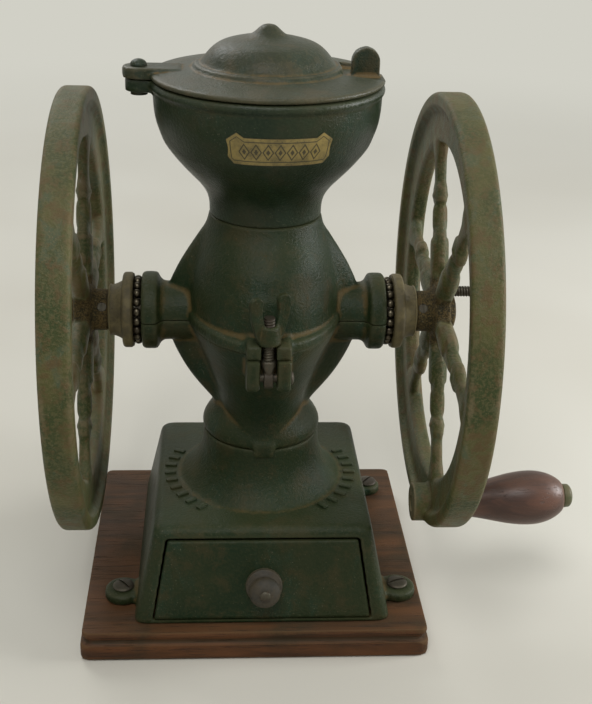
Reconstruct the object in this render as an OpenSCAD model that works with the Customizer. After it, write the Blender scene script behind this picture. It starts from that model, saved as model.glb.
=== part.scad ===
// Cast-iron coffee mill with two flywheels, a swinging hopper lid and a drawer in the base.
// Millimetres. X runs along the shaft, -Y is the drawer side, Z is up, and Z = 0 is the table.

/* [Wood board] */
// Width of the wood board along the shaft
board_width = 177.7; // [140:1:220]
// Depth of the wood board from front to back
board_depth = 163; // [130:1:200]
// Thickness of the wood board
board_height = 16.3; // [12:0.1:30]
// Height of the rounded moulding at the top of the board's edge
moulding_height = 7; // [3:0.5:10]
// How far that moulding steps in
moulding_inset = 6; // [2:0.5:9]
// Radius of the board's upright corners
board_corner = 4; // [1:0.5:12]
// Board centre from the mill's centre line, sideways
board_shift_x = -3.4; // [-8:0.1:8]
// Board centre from the mill's centre line, front to back
board_shift_y = 3.2; // [-8:0.1:8]

/* [Base] */
// Width of the iron base at the board
base_foot_width = 131; // [120:1:150]
// Depth of the iron base at the board
base_foot_depth = 141; // [120:1:150]
// Width of the iron base at its top plate
base_top_width = 110; // [104:1:118]
// Depth of the iron base at its top plate
base_top_depth = 115; // [106:1:124]
// Height of the iron base
base_height = 49.1; // [46:0.5:60]
// Wall of the iron base
base_wall = 3.5; // [2.5:0.1:6]
// Radius of the base's upright corners
base_corner = 5; // [3:0.5:9]
// Height of the bell that carries the housing
bell_height = 29.1; // [20:0.5:40]
// Radius of the bell at its top
bell_top_radius = 30.5; // [28:0.5:36]
// Radius of the bell where it meets the top plate
bell_foot_radius = 43; // [38:0.5:48]
// Thickness of the screw ears
ear_height = 5.7; // [4:0.1:9]
// Radius of the two front ears
front_ear_radius = 9.75; // [8:0.25:12]
// Radius of the rear ear
rear_ear_radius = 7.5; // [7:0.25:12]
// Radius of a screw's head
screw_head_radius = 5.5; // [4:0.25:7]
// Radius of a screw's shank
screw_shank_radius = 2.3; // [1.5:0.1:3]
// Height of a screw's head
screw_head_height = 2.4; // [1.5:0.1:4]

/* [Drawer] */
// Height of the drawer opening's sill above the board
sill_height = 1.7; // [1.5:0.1:4]
// Height of the drawer opening
opening_height = 41.7; // [34:0.1:43]
// Width of the drawer opening at the sill
opening_foot_width = 112; // [106:0.5:116]
// Width of the drawer opening at its top
opening_top_width = 98; // [97.5:0.1:102]
// Thickness of the drawer's cast front
front_thickness = 4; // [2.5:0.1:6]
// Width of the drawer's box
drawer_width = 96; // [80:0.5:96.5]
// How far the drawer's box reaches behind the centre line
drawer_back = 48; // [30:1:50]
// Height of the drawer's box
drawer_height = 37.5; // [20:0.5:38]
// Wall of the drawer's box
drawer_wall = 1.6; // [1:0.1:2.5]
// Height of the knob's centre up the slope of the front
knob_rise = 20.4; // [15:0.5:30]
// Sideways place of the knob
knob_x = 0.5; // [-2:0.1:2]
// Radius of the knob's domed head
knob_radius = 8; // [6.5:0.1:11]
// Radius of the flange that the knob stands on
knob_flange_radius = 9.3; // [8:0.1:13]
// Length of the knob
knob_length = 16.5; // [12:0.5:24]

/* [Housing] */
// Height of the lower housing, from the bell to the parting plane
lower_height = 65.5; // [60:0.5:75]
// Height of the upper housing, from the parting plane to the hopper
upper_height = 53.2; // [48:0.5:62]
// Half width of the housing along the shaft at the parting plane
belly_side = 38.7; // [36:0.1:44]
// Half depth of the housing from front to back at the parting plane
belly_front = 55.5; // [52:0.1:60]
// Half width of the housing's neck along the shaft
neck_side = 20.5; // [19.5:0.1:24]
// Half depth of the housing's neck from front to back
neck_front = 30; // [26:0.1:31]
// Radius of the housing's top, under the hopper
crown_radius = 27.6; // [26:0.1:32]
// Reach of the side webs that run out to the shaft's arms
web_reach = 49; // [45:0.5:54]
// Half thickness of those webs
web_half_thickness = 12; // [10:0.5:17]
// Height of the upper housing's flange
lip_height = 5.5; // [3:0.5:8]
// How far that flange stands proud at the front
lip_proud = 5.5; // [2:0.5:7]
// Radius of the collar at the housing's foot
collar_radius = 31; // [30:0.1:33]
// Height of that collar
collar_height = 17; // [12:0.5:20]
// Radius of the arms that carry the shaft
arm_radius = 15; // [12:0.5:18]
// Distance from the centre to the outer face of each arm's boss
boss_face = 61.5; // [57:0.5:68]
// Radius of the bosses
boss_radius = 19.7; // [18:0.1:24]
// Length of the bosses
boss_length = 8.5; // [6:0.5:11]

/* [Shaft and bearings] */
// Radius of the shaft
shaft_radius = 6; // [4.5:0.1:7]
// Diameter of a bearing ball
ball_diameter = 4.6; // [3:0.1:5.5]
// Radius of the circle that the balls run on
ball_circle = 15.3; // [14:0.1:17]
// Number of balls on each side
ball_count = 20; // [12:1:20]
// Gap between a boss and its thrust flange
ball_gap = 4.1; // [2:0.1:4.5]
// Radius of the thrust flanges
flange_radius = 19.2; // [18:0.1:22]
// Thickness of a thrust flange's disc
flange_thickness = 5.4; // [4:0.1:8]
// Length of a thrust flange's trumpet
trumpet_length = 7; // [4:0.5:12]
// Radius of the trumpet's end
trumpet_radius = 12.8; // [11:0.1:16]

/* [Burrs] */
// Outside radius of the fixed burr
fixed_burr_radius = 24; // [20:0.5:25.5]
// Thickness of the fixed burr
fixed_burr_thickness = 11; // [8:0.5:12]
// Radius of the fixed burr's feed hole
feed_hole_radius = 12; // [10:0.5:14]
// Outside radius of the turning burr
turning_burr_radius = 22; // [18:0.5:23]
// Thickness of the turning burr
turning_burr_thickness = 8; // [6:0.5:10]
// Grinding gap between the burrs
grind_gap = 0.6; // [0.4:0.1:1.2]
// Number of grooves in each burr
groove_count = 12; // [8:1:20]
// Radius of the grounds chamber
chamber_radius = 28; // [27:0.5:29]
// Radius of the trough that feeds the burrs
trough_radius = 21; // [18:0.5:23]
// Radius of the chute down to the drawer
chute_radius = 15; // [12:0.5:16]
// Radius of the throat under the hopper
throat_radius = 19; // [16:0.5:20]

/* [Wheels] */
// Outside diameter of both wheels
wheel_diameter = 222; // [190:1:250]
// Width of the rim's lip
rim_width = 15; // [10:0.5:20]
// Depth of the rim's lip, from the outside inwards
rim_lip_depth = 7; // [4:0.5:10]
// Depth of the whole rim, from the outside inwards
rim_depth = 25; // [15:0.5:32]
// Thickness of the rim's web
rim_web_thickness = 8; // [6:0.5:11]
// Number of spokes
spoke_count = 6; // [4:1:8]
// Thickness of the spokes
spoke_thickness = 6; // [4:0.5:9]
// Turn of the first spoke from the back of the mill
spoke_turn = 9; // [0:1:60]
// Half width of a spoke at its broadest
spoke_half_width = 7.5; // [5:0.1:9]
// Half width of a spoke at its waists
spoke_waist = 4.5; // [3:0.1:5.5]
// Height of the leaf panels on the spokes
leaf_height = 0.8; // [0.4:0.1:1.5]
// Height of the thick buds on the inner part of the spokes
bud_height = 1.8; // [0.8:0.1:2.5]
// Radius of the disc around the hub
hub_disc_radius = 15; // [13:0.5:17]
// Radius of the hub's inner end
hub_radius = 10.5; // [9.5:0.1:13]
// Length of the hub between the trumpet and the spokes
hub_inner_length = 10; // [7:0.5:16]
// Length of the hub outside the spokes
hub_outer_length = 4.5; // [2:0.5:9]

/* [Handle] */
// Distance from the wheel's edge in to the handle's axis
handle_inset = 10; // [10:0.5:14]
// Place of the handle round the wheel, from the back of the mill
handle_turn = 252; // [0:1:360]
// Tilt of the handle
handle_tilt = 3; // [0:0.5:4]
// Length of the wooden grip
grip_length = 59.2; // [45:0.5:80]
// Radius of the grip at its broadest
grip_radius = 14.25; // [11:0.25:18]
// Radius of the grip's narrow end
grip_neck_radius = 7.8; // [6.5:0.1:9]
// Radius of the stud that the grip turns on
stud_radius = 4; // [3:0.1:5]
// Radius of the stud's button head
button_radius = 6.25; // [5.5:0.25:9]
// Height of the button head
button_height = 5.4; // [3:0.1:7]
// Radius of the boss that holds the stud
handle_boss_radius = 10; // [8:0.5:10]
// How far that boss stands out on the inner side of the rim
handle_boss_length = 5.6; // [2:0.1:6]
// Radius of the threaded adjusting stud beside the hub
adjuster_radius = 2.8; // [2:0.1:3.5]
// How far the adjusting stud stands out
adjuster_length = 18; // [8:0.5:25]

/* [Hopper] */
// Height of the hopper above the housing
hopper_height = 64.8; // [50:0.5:80]
// Outside radius of the hopper's rim bead
hopper_rim_radius = 55.5; // [50:0.5:62]
// Outside radius of the hopper's neck
hopper_neck_radius = 27.4; // [25.5:0.1:32]
// Wall of the hopper
hopper_wall = 3; // [2:0.1:4.5]
// Height of the rim bead
rim_bead_height = 5; // [3:0.5:7]
// Distance from the hopper's centre to the lid's pivot
pivot_reach = 60.5; // [59:0.5:66]
// Radius of the hopper's pivot lug
hopper_lug_radius = 6.5; // [5:0.25:8]
// Height of the hopper's pivot lug
hopper_lug_height = 6.3; // [4:0.1:9]

/* [Lid] */
// Height of the lid's brim at its edge
brim_edge_height = 2.7; // [2:0.1:4]
// Height of the lid's brim where the dome starts
brim_height = 5.6; // [4.5:0.1:8]
// Radius of the dome's bead
dome_radius = 35; // [30:0.5:40]
// Height of the dome's shoulder above the lid's underside
shoulder_height = 19.5; // [15:0.5:24]
// Height of the whole lid
lid_height = 25.4; // [22:0.1:32]
// Wall of the lid's dome
lid_wall = 3; // [2:0.1:4]
// Radius of the lid's pivot lug
lid_lug_radius = 7.7; // [6.5:0.1:9]
// Height of the lid's pivot lug
lid_lug_height = 5.2; // [4:0.1:7]
// Radius of the rivet that the lid turns on
rivet_radius = 2.5; // [1.5:0.1:3]
// Width of the thumb piece
thumb_width = 13.5; // [10:0.5:18]
// Thickness of the thumb piece
thumb_thickness = 6; // [4:0.5:8]
// Height of the thumb piece above the lid's underside
thumb_height = 15.1; // [11:0.1:20]
// Distance from the lid's centre to the thumb piece's centre
thumb_reach = 46.2; // [42:0.1:48]
// Width of the recess in front of the thumb piece
recess_front = 12; // [9:0.5:16]
// Width of the recess behind the thumb piece
recess_back = 20; // [14:0.5:24]

/* [Clamp and hinge] */
// Sideways place of the clamp
clamp_x = 0.5; // [-2:0.1:2]
// Distance from the centre to the clamp's bolt
clamp_reach = 58.5; // [57:0.1:62]
// Width of the clamp's lugs
clamp_width = 21.2; // [18:0.1:26]
// Height of the upper lug above the parting plane
upper_lug_height = 7.4; // [6:0.1:12]
// Depth of the ears under the parting plane
clamp_ear_height = 16.5; // [14:0.5:20]
// Gap between the ears
ear_gap = 8; // [7:0.1:10]
// Radius of the swing bolt's thread
bolt_radius = 2.75; // [2:0.05:3]
// Height of the swing bolt above its pin
bolt_length = 31; // [28:0.5:38]
// Depth of the bolt's pin under the parting plane
bolt_pin_drop = 10; // [9:0.1:11]
// Radius of the bolt's eye
eye_radius = 5; // [4:0.1:5.2]
// Width of the bolt's eye
eye_width = 4.6; // [3.5:0.1:5.5]
// Radius of the pins in the clamp and the hinge
pin_radius = 2; // [1.5:0.1:2.5]
// Height of the wing nut's hub
nut_height = 9.5; // [7:0.1:12]
// Radius of the wing nut's hub
nut_radius = 5.8; // [4.5:0.05:6.5]
// Turn of the wing nut on its bolt
nut_turn = 25; // [0:1:90]
// Reach of each wing from the bolt's axis
wing_reach = 10.6; // [9:0.1:14]
// Height of the wings above the nut's seat
wing_height = 24.5; // [16:0.5:28]
// Distance from the centre to the hinge's pin
hinge_reach = 62.5; // [61:0.1:68]
// Radius of the hinge's knuckles
knuckle_radius = 6; // [5:0.1:6.5]
// Width of the hinge
hinge_width = 24; // [18:0.5:32]

/* [Hidden] */
$fn = 48;
running_gap = 0.05; // round a pin or shaft that turns
seat_gap = 0.1; // between pieces that are fixed together
free_gap = 0.3; // between faces that move past each other
small = 0.01;
far = 400; // longer than anything that is cut

base_top = board_height + base_height;
bell_top = base_top + bell_height;
shaft_z = bell_top + lower_height;
crown_z = shaft_z + upper_height;
hopper_top = crown_z + hopper_height;
lid_z = hopper_top + free_gap;
front_slope = atan((base_foot_depth - base_top_depth) / 2 / base_height);
flange_start = boss_face + ball_gap;
hub_start = flange_start + flange_thickness + trumpet_length;
spoke_start = hub_start + hub_inner_length;
rim_start = spoke_start + (rim_web_thickness - rim_width) / 2;
rim_end = rim_start + rim_width;
wheel_radius = wheel_diameter / 2;
handle_reach = wheel_radius - handle_inset;
shaft_end = spoke_start + spoke_thickness + hub_outer_length + 0.5;
pin_z = shaft_z - bolt_pin_drop;
upper_lug_top = shaft_z + upper_lug_height;
partition_start = -9; // the grounds side of the wall that holds the fixed burr
chamber_end = -27; // the far wall of the grounds chamber
front_ear_y = 25 - base_foot_depth / 2;
rear_ear_y = base_foot_depth / 2 - 12.5;
ear_centres = [
    [-base_foot_width / 2 - front_ear_radius + 3.25, front_ear_y, front_ear_radius],
    [base_foot_width / 2 + front_ear_radius - 3.25, front_ear_y, front_ear_radius],
    [base_foot_width / 2 + rear_ear_radius - 5, rear_ear_y, rear_ear_radius]
];

// ---- shapes that several pieces share

// points of an arc round (cx, cy)
function arc(cx, cy, r, from, to, steps = 6) =
    [for (i = [0:steps]) let (a = from + (to - from) * i / steps) [cx + r * cos(a), cy + r * sin(a)]];

// smooth value at x from a table of [x, value]
function ease(x, table, i = 0) =
    i >= len(table) - 1 ? table[len(table) - 1][1] :
    x <= table[i][0] ? table[i][1] :
    x <= table[i + 1][0] ?
        let (t = (x - table[i][0]) / (table[i + 1][0] - table[i][0]))
        table[i][1] + (table[i + 1][1] - table[i][1]) * (1 - cos(180 * t)) / 2 :
    ease(x, table, i + 1);

// rounded slab standing on the XY plane, centred
module rounded_slab(width, depth, height, corner) {
    linear_extrude(height) union() {
        square([width - 2 * corner, depth], center = true);
        square([width, depth - 2 * corner], center = true);
        for (x = [-1, 1], y = [-1, 1])
            translate([x * (width / 2 - corner), y * (depth / 2 - corner)]) circle(corner);
    }
}

// turns a shape made along +Z so that it lies along the shaft, starting at distance x
module on_shaft(x = 0, side = 1) {
    mirror([side < 0 ? 1 : 0, 0, 0]) translate([x, 0, shaft_z]) rotate([0, 90, 0]) children();
}

// frame of the sloped front: X across, Y up the slope, Z out of it
module at_front() {
    translate([0, -base_foot_depth / 2, board_height]) rotate([90 - front_slope, 0, 0]) children();
}

// ---- wood board

// profile of the board seen along one side: upright edge, then a quarter-round moulding
function board_profile(half) = concat(
    [[-half, 0], [half, 0], [half, board_height - moulding_height]],
    [for (a = [0:15:90]) [half - moulding_inset * (1 - cos(a)),
        board_height - moulding_height * (1 - sin(a))]],
    [for (a = [90:-15:0]) [-half + moulding_inset * (1 - cos(a)),
        board_height - moulding_height * (1 - sin(a))]],
    [[-half, board_height - moulding_height]]
);

module wood_board() color("saddlebrown") difference() {
    translate([board_shift_x, board_shift_y, 0]) intersection() {
        rotate([90, 0, 0]) linear_extrude(board_depth, center = true)
            polygon(board_profile(board_width / 2));
        rotate([90, 0, 90]) linear_extrude(board_width, center = true)
            polygon(board_profile(board_depth / 2));
        rounded_slab(board_width, board_depth, board_height, board_corner);
    }
    for (c = ear_centres) translate([c[0], c[1], board_height / 2])
        cylinder(r = screw_shank_radius + running_gap, h = board_height);
}

// ---- base

// foot of the base, its sloping walls and its top plate, made smaller by inset
module base_form(inset) {
    hull() {
        translate([0, 0, board_height - (inset > 0 ? small : 0)])
            rounded_slab(base_foot_width - 2 * inset, base_foot_depth - 2 * inset, small, base_corner);
        translate([0, 0, base_top - inset - small])
            rounded_slab(base_top_width - 2 * inset, base_top_depth - 2 * inset, small, base_corner);
    }
}

bell_profile = concat(
    [[0, base_top - base_wall / 2], [bell_foot_radius, base_top - base_wall / 2]],
    [for (t = [0:0.1:1]) [
        bell_top_radius + (bell_foot_radius - bell_top_radius) * pow(1 - t, 2.6),
        base_top + bell_height * t]],
    [[0, bell_top]]
);

// the drawer opening seen from the front, made smaller by inset, and cut from y0 for a length
module opening_prism(inset, y0, length) {
    foot = opening_foot_width / 2 - inset;
    top = opening_top_width / 2 - inset;
    translate([0, y0 + length, board_height + sill_height]) rotate([90, 0, 0]) linear_extrude(length)
        polygon([[-foot, inset], [foot, inset], [top, opening_height - inset], [-top, opening_height - inset]]);
}

runner_height = sill_height;
runner_inner = drawer_width / 2 - 8;
runner_outer = drawer_width / 2 + 2.6;

module runner() {
    translate([runner_inner, -base_foot_depth / 2 + 8, board_height])
        cube([runner_outer - runner_inner, base_foot_depth - 12, runner_height]);
    translate([drawer_width / 2 + 0.4, -base_foot_depth / 2 + 8, board_height])
        cube([runner_outer - drawer_width / 2 - 0.4, base_foot_depth - 12, runner_height + 4]);
}

module base_casting() color("darkslategray") {
    difference() {
        union() {
            base_form(0);
            rotate_extrude() polygon(bell_profile);
            for (c = ear_centres) translate([c[0], c[1], board_height])
                cylinder(r = c[2], h = ear_height);
        }
        base_form(base_wall);
        opening_prism(0, -base_foot_depth / 2 - 2, base_foot_depth / 4);
        translate([0, 0, base_top - base_wall - 1]) cylinder(r = spigot_radius + seat_gap, h = far);
        for (c = ear_centres) translate([c[0], c[1], board_height - 1])
            cylinder(r = screw_shank_radius + seat_gap, h = ear_height + 2);
        // seats for the screws' heads where the wall comes close
        for (c = ear_centres) translate([c[0], c[1], board_height + ear_height])
            cylinder(r = screw_head_radius + 0.4, h = screw_head_height + 1);
    }
    intersection() {
        union() {
            runner();
            mirror([1, 0, 0]) runner();
        }
        base_form(base_wall / 2);
    }
}

module base_screw(i) color("dimgray") translate([ear_centres[i][0], ear_centres[i][1], 0]) {
    translate([0, 0, board_height / 2 + 0.5])
        cylinder(r = screw_shank_radius, h = board_height / 2 + ear_height);
    difference() {
        translate([0, 0, board_height + ear_height]) rotate_extrude()
            polygon(concat([[0, 0]], [for (a = [0:15:90])
                [screw_head_radius * cos(a), screw_head_height * (0.35 + 0.65 * sin(a))]], [[0, 0]]));
        rotate([0, 0, 30 + 100 * i]) translate([-far / 2, -0.6, board_height + ear_height + screw_head_height * 0.55])
            cube([far, 1.2, screw_head_height]);
    }
}

// ---- drawer

// everything behind a plane that lies depth inside the sloped front
module behind_front(depth) {
    at_front() translate([-far / 2, -far / 2, -depth - far]) cube([far, far, far]);
}

drawer_bottom = board_height + runner_height + free_gap;

module drawer_box() color("rosybrown") difference() {
    intersection() {
        translate([-drawer_width / 2, -base_foot_depth / 2, drawer_bottom])
            cube([drawer_width, base_foot_depth / 2 + drawer_back, drawer_height]);
        behind_front(front_thickness + running_gap);
    }
    intersection() {
        translate([-drawer_width / 2 + drawer_wall, -base_foot_depth / 2, drawer_bottom + drawer_wall])
            cube([drawer_width - 2 * drawer_wall, base_foot_depth / 2 + drawer_back - drawer_wall, far]);
        behind_front(front_thickness + running_gap + drawer_wall);
    }
    at_knob() translate([0, 0, -20]) cylinder(r = knob_screw_radius + seat_gap, h = 30);
}

knob_screw_radius = 1.9;
knob_rivet_radius = 2.8;
knob_head_start = knob_length * 0.48;
knob_shoulder = knob_head_start + 1.5;
knob_dome = knob_length - 2 - knob_shoulder;

module at_knob() {
    translate([knob_x, 0, 0]) at_front() translate([0, knob_rise, 0]) children();
}

module drawer_front() color("darkslategray") difference() {
    intersection() {
        opening_prism(0.5, -base_foot_depth / 2 - 2, base_foot_depth / 4);
        at_front() translate([-far / 2, -far / 2, -front_thickness]) cube([far, far, front_thickness]);
    }
    at_knob() translate([0, 0, -20]) cylinder(r = knob_screw_radius + seat_gap, h = 30);
}

module drawer_knob() color("darkkhaki") at_knob() difference() {
    rotate_extrude() polygon(concat(
        [[0, running_gap], [knob_flange_radius, running_gap], [knob_flange_radius, 1.6]],
        arc(knob_flange_radius - 1, 1.6, 1, 0, 90, 3),
        [for (t = [0:0.125:1]) [
            knob_radius * (0.72 + 0.28 * pow(2 * t - 1, 2)), 2.8 + (knob_head_start - 2.8) * t]],
        [for (a = [0:10:80]) [knob_radius * cos(a), knob_shoulder + knob_dome * sin(a)]],
        [[0, knob_shoulder + knob_dome]]));
    cylinder(r = knob_screw_radius + seat_gap, h = far);
}

// the screw's end is riveted over the middle of the dome
module drawer_knob_screw() color("gray") at_knob() {
    translate([0, 0, -front_thickness - drawer_wall - 1.5])
        cylinder(r = knob_screw_radius, h = knob_length + front_thickness + drawer_wall);
    translate([0, 0, knob_length - 1.6]) rotate_extrude() polygon(concat(
        [[0, 0]], [for (a = [0:15:75]) [knob_rivet_radius * cos(a), 0.3 + 1.3 * sin(a)]], [[0, 1.6]]));
}

// ---- housing

// each row is a level: share of the way up, then how far the side, the front and the web have
// gone from the small end (0) to the broad end (1)
lower_shares = [
    [0, 0.04, 0, -0.5], [0.12, 0.03, 0.01, 0.08], [0.20, 0.08, 0.05, 0.24], [0.30, 0.16, 0.13, 0.42],
    [0.40, 0.26, 0.23, 0.58], [0.50, 0.38, 0.34, 0.71], [0.60, 0.50, 0.46, 0.82], [0.70, 0.62, 0.60, 0.91],
    [0.82, 0.78, 0.79, 0.97], [0.92, 0.92, 0.92, 0.99], [1, 1, 1, 1]
];
upper_shares = [
    [0, 0.93, 1, 1], [0.096, 0.905, 0.99, 0.97], [0.21, 0.85, 0.96, 0.92], [0.333, 0.73, 0.883, 0.80],
    [0.446, 0.61, 0.757, 0.67], [0.57, 0.48, 0.63, 0.50], [0.684, 0.36, 0.454, 0.32],
    [0.796, 0.23, 0.252, 0.10], [0.898, 0.10, 0.10, -0.3], [1, 0, 0, -0.6]
];
neck_z = bell_top + 6; // hidden inside the collar
parting_low = shaft_z - seat_gap / 2;
parting_high = shaft_z + seat_gap / 2;
run_past = 1; // both lofts run past the parting plane, where they are cut
lip_front = belly_front + 0.5;
lip_side = belly_side + 0.3;
lip_edge = 1; // size of the lip's upper chamfer
body_start = shaft_z + lip_height + 0.6;
body_front = lip_front - lip_proud;

lower_levels = [for (s = lower_shares) [
    neck_z + (shaft_z + run_past - neck_z) * s[0],
    neck_side + (belly_side - neck_side) * s[1],
    neck_front + (belly_front - neck_front) * s[2],
    neck_side + (web_reach - neck_side) * s[3]]];
upper_levels = concat(
    [[shaft_z - run_past, lip_side, lip_front, web_reach],
     [shaft_z + lip_height - lip_edge, lip_side, lip_front, web_reach],
     [shaft_z + lip_height - 0.3, lip_side - lip_edge, lip_front - lip_edge, web_reach]],
    [for (s = upper_shares) [
        body_start + (crown_z - body_start) * s[0],
        crown_radius + (belly_side - crown_radius) * s[1],
        crown_radius + (body_front - crown_radius) * s[2],
        crown_radius + (web_reach - crown_radius) * s[3]]]
);

function oval(a, half_x, half_y) = 1 / sqrt(pow(cos(a) / half_x, 2) + pow(sin(a) / half_y, 2));
melt = 14; // a higher power gives a sharper crease between the belly and its webs
// two crossed ovals, the belly and the side web, melted together
function section_reach(a, level) = pow(
    pow(oval(a, level[1], level[2]), melt) + pow(oval(a, level[3], web_half_thickness), melt), 1 / melt);

module loft(levels) {
    sides = 56;
    top = len(levels) - 1;
    points = [for (level = levels) for (i = [0:sides - 1])
        let (a = 360 * i / sides, r = section_reach(a, level)) [r * cos(a), r * sin(a), level[0]]];
    walls = [for (k = [0:top - 1]) for (i = [0:sides - 1]) for (half = [0, 1])
        let (a = k * sides + i, b = k * sides + (i + 1) % sides)
        half == 0 ? [a, b + sides, b] : [a, a + sides, b + sides]];
    polyhedron(points, concat(
        [[for (i = [0:sides - 1]) i]], walls, [[for (i = [sides - 1:-1:0]) top * sides + i]]));
}

// arms that run out to the bosses, with the balls' groove in each outer face
arm_profile = concat(
    [[0, 26], [arm_radius, 26], [arm_radius, boss_face - boss_length - 3.5]],
    arc(arm_radius + 3.2, boss_face - boss_length - 3.5, 3.2, 180, 110, 4),
    arc(boss_radius - 1.6, boss_face - boss_length + 1.6, 1.6, -60, 0, 4),
    arc(boss_radius - 1.8, boss_face - 1.8, 1.8, 0, 90, 4),
    [[0, boss_face]]
);

ball_groove = ball_diameter / 2 + running_gap;

module ball_track() {
    translate([0, 0, boss_face + ball_gap / 2]) rotate_extrude()
        translate([ball_circle, 0]) circle(ball_groove, $fn = 24);
}

module arms() {
    for (side = [-1, 1]) on_shaft(0, side) difference() {
        rotate_extrude() polygon(arm_profile);
        ball_track();
    }
}

// hollow for the burrs: grounds side, wall with the fixed burr's seat, and feed trough
module burr_room() {
    on_shaft(chamber_end) cylinder(r = chamber_radius, h = partition_start - chamber_end);
    on_shaft(partition_start - small)
        cylinder(r = fixed_burr_radius + seat_gap, h = fixed_burr_thickness + seat_gap);
    on_shaft(partition_start) cylinder(r = trough_radius, h = 36);
    on_shaft(-far / 2) cylinder(r = shaft_radius + running_gap, h = far);
}

collar_swell = 3.5; // height of the collar's broadest place
foot_profile = concat(
    [[0, 0], [collar_radius - 1, 0], [collar_radius - 0.25, 1.2]],
    [for (t = [0:0.1:1]) [
        collar_radius - (collar_radius - neck_side - 1) * pow(t, 1.6),
        collar_swell + (collar_height - collar_swell) * t]],
    [[0, collar_height]]
);
spigot_radius = 22;
grounds_drop = 11;

// clamp ears and hinge knuckles lie on these blocks
module lug_block(width, y_from, y_to, z_from, z_to) {
    translate([-width / 2, min(y_from, y_to), z_from])
        cube([width, abs(y_to - y_from), z_to - z_from]);
}

module knuckle(x_from, x_to) {
    translate([x_from, hinge_reach, shaft_z]) rotate([0, 90, 0]) cylinder(r = knuckle_radius, h = x_to - x_from);
}

hinge_third = hinge_width / 6;

module lower_housing() color("darkolivegreen") difference() {
    union() {
        difference() {
            union() {
                loft(lower_levels);
                arms();
                translate([0, 0, bell_top]) rotate_extrude() polygon(foot_profile);
                translate([clamp_x, 0, 0])
                    lug_block(clamp_width, -belly_front + 14, -clamp_reach - 4.5,
                        shaft_z - clamp_ear_height, parting_low);
                lug_block(hinge_width, belly_front - 12, hinge_reach + knuckle_radius - 1,
                    shaft_z - 9, parting_low);
            }
            translate([-far / 2, -far / 2, parting_low]) cube([far, far, far]);
        }
        for (x = [-hinge_width / 2, hinge_third]) knuckle(x, x + hinge_width / 2 - hinge_third);
        translate([0, 0, bell_top - 7]) cylinder(r = spigot_radius, h = 10);
        // small tongue that laps over the bell's edge
        difference() {
            translate([clamp_x, 0, bell_top - 4]) rounded_slab(12, 2 * (collar_radius + 1), 8, 2);
            translate([-far / 2, 0, 0]) cube([far, far, far]);
            cylinder(r = bell_top_radius + 0.6, h = bell_top + seat_gap);
        }
    }
    burr_room();
    translate([0, 0, bell_top - far / 2]) cylinder(r = chute_radius, h = far / 2 + lower_height / 2);
    // grounds fall from their chamber to the chute
    translate([partition_start - grounds_drop / 2, 0, neck_z + 14])
        rounded_slab(grounds_drop, 18, shaft_z - chamber_radius * 0.75 - neck_z - 14, 3);
    // room for the swing bolt between the ears, and the pin through them
    translate([clamp_x, 0, 0]) lug_block(ear_gap, -clamp_reach + eye_radius + 1.5, -far / 2,
        shaft_z - clamp_ear_height - 1, shaft_z + 1);
    clamp_pin_hole(running_gap);
    // room for the upper knuckle
    lug_block(2 * hinge_third, hinge_reach - knuckle_radius - 0.6, far / 2, shaft_z - knuckle_radius - 0.6, far);
    hinge_pin_hole(running_gap);
}

module clamp_pin_hole(gap) {
    translate([clamp_x - far / 2, -clamp_reach, pin_z]) rotate([0, 90, 0]) cylinder(r = pin_radius + gap, h = far);
}

module hinge_pin_hole(gap) {
    translate([-far / 2, hinge_reach, shaft_z]) rotate([0, 90, 0]) cylinder(r = pin_radius + gap, h = far);
}

module upper_housing() color("olivedrab") difference() {
    union() {
        difference() {
            union() {
                loft(upper_levels);
                arms();
                translate([clamp_x, 0, 0])
                    lug_block(clamp_width, -belly_front + 10, -clamp_reach - 3.5, parting_high, upper_lug_top);
                lug_block(2 * (hinge_third - free_gap), belly_front - 12, hinge_reach, shaft_z - 2,
                    shaft_z + 0.6 * knuckle_radius);
            }
            translate([-far / 2, -far / 2, parting_high - far]) cube([far, far, far]);
        }
        knuckle(-hinge_third + free_gap, hinge_third - free_gap);
    }
    burr_room();
    translate([0, 0, crown_z - 6]) cylinder(r = spigot_radius + seat_gap, h = far);
    translate([0, 0, shaft_z + chamber_radius + 4]) cylinder(r = throat_radius, h = far);
    feed_drop();
    translate([clamp_x, 0, 0]) lug_block(2 * bolt_radius + 1.8, -clamp_reach + bolt_radius + 1.75, -far / 2,
        shaft_z - 1, far);
    // room for the two lower knuckles
    for (x = [-hinge_width / 2 - 1, hinge_third - free_gap])
        translate([x, hinge_reach - knuckle_radius - 0.4, shaft_z - 1])
            cube([hinge_width / 2 + 1 - hinge_third + free_gap, far, knuckle_radius + 1.6]);
    hinge_pin_hole(running_gap);
}

// beans fall from the throat to the trough on the right of the burrs
module feed_drop() {
    drop_radius = 11.5;
    translate([3 + drop_radius, 0, shaft_z]) cylinder(r = drop_radius, h = chamber_radius + 10);
}

// ---- burrs and shaft

burr_face = partition_start + seat_gap / 2;

module grooves(radius, depth, start) {
    for (i = [0:groove_count - 1]) rotate([0, 0, 360 * i / groove_count + 8])
        translate([start, -0.9, -depth]) cube([radius - start + 1, 1.8, 2 * depth]);
}

module fixed_burr() color("slategray") on_shaft(burr_face) difference() {
    cylinder(r = fixed_burr_radius, h = fixed_burr_thickness);
    translate([0, 0, -1]) cylinder(r = feed_hole_radius, h = far);
    translate([0, 0, fixed_burr_thickness - 4]) rotate_extrude()
        polygon([[0, 0], [feed_hole_radius, 0], [feed_hole_radius + 5, 5], [0, 5]]);
    grooves(fixed_burr_radius, 1.2, feed_hole_radius - 1);
}

// disc with grooves, and a feed hub with three breaker arms that reaches through the fixed burr
breaker_length = 26;

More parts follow.
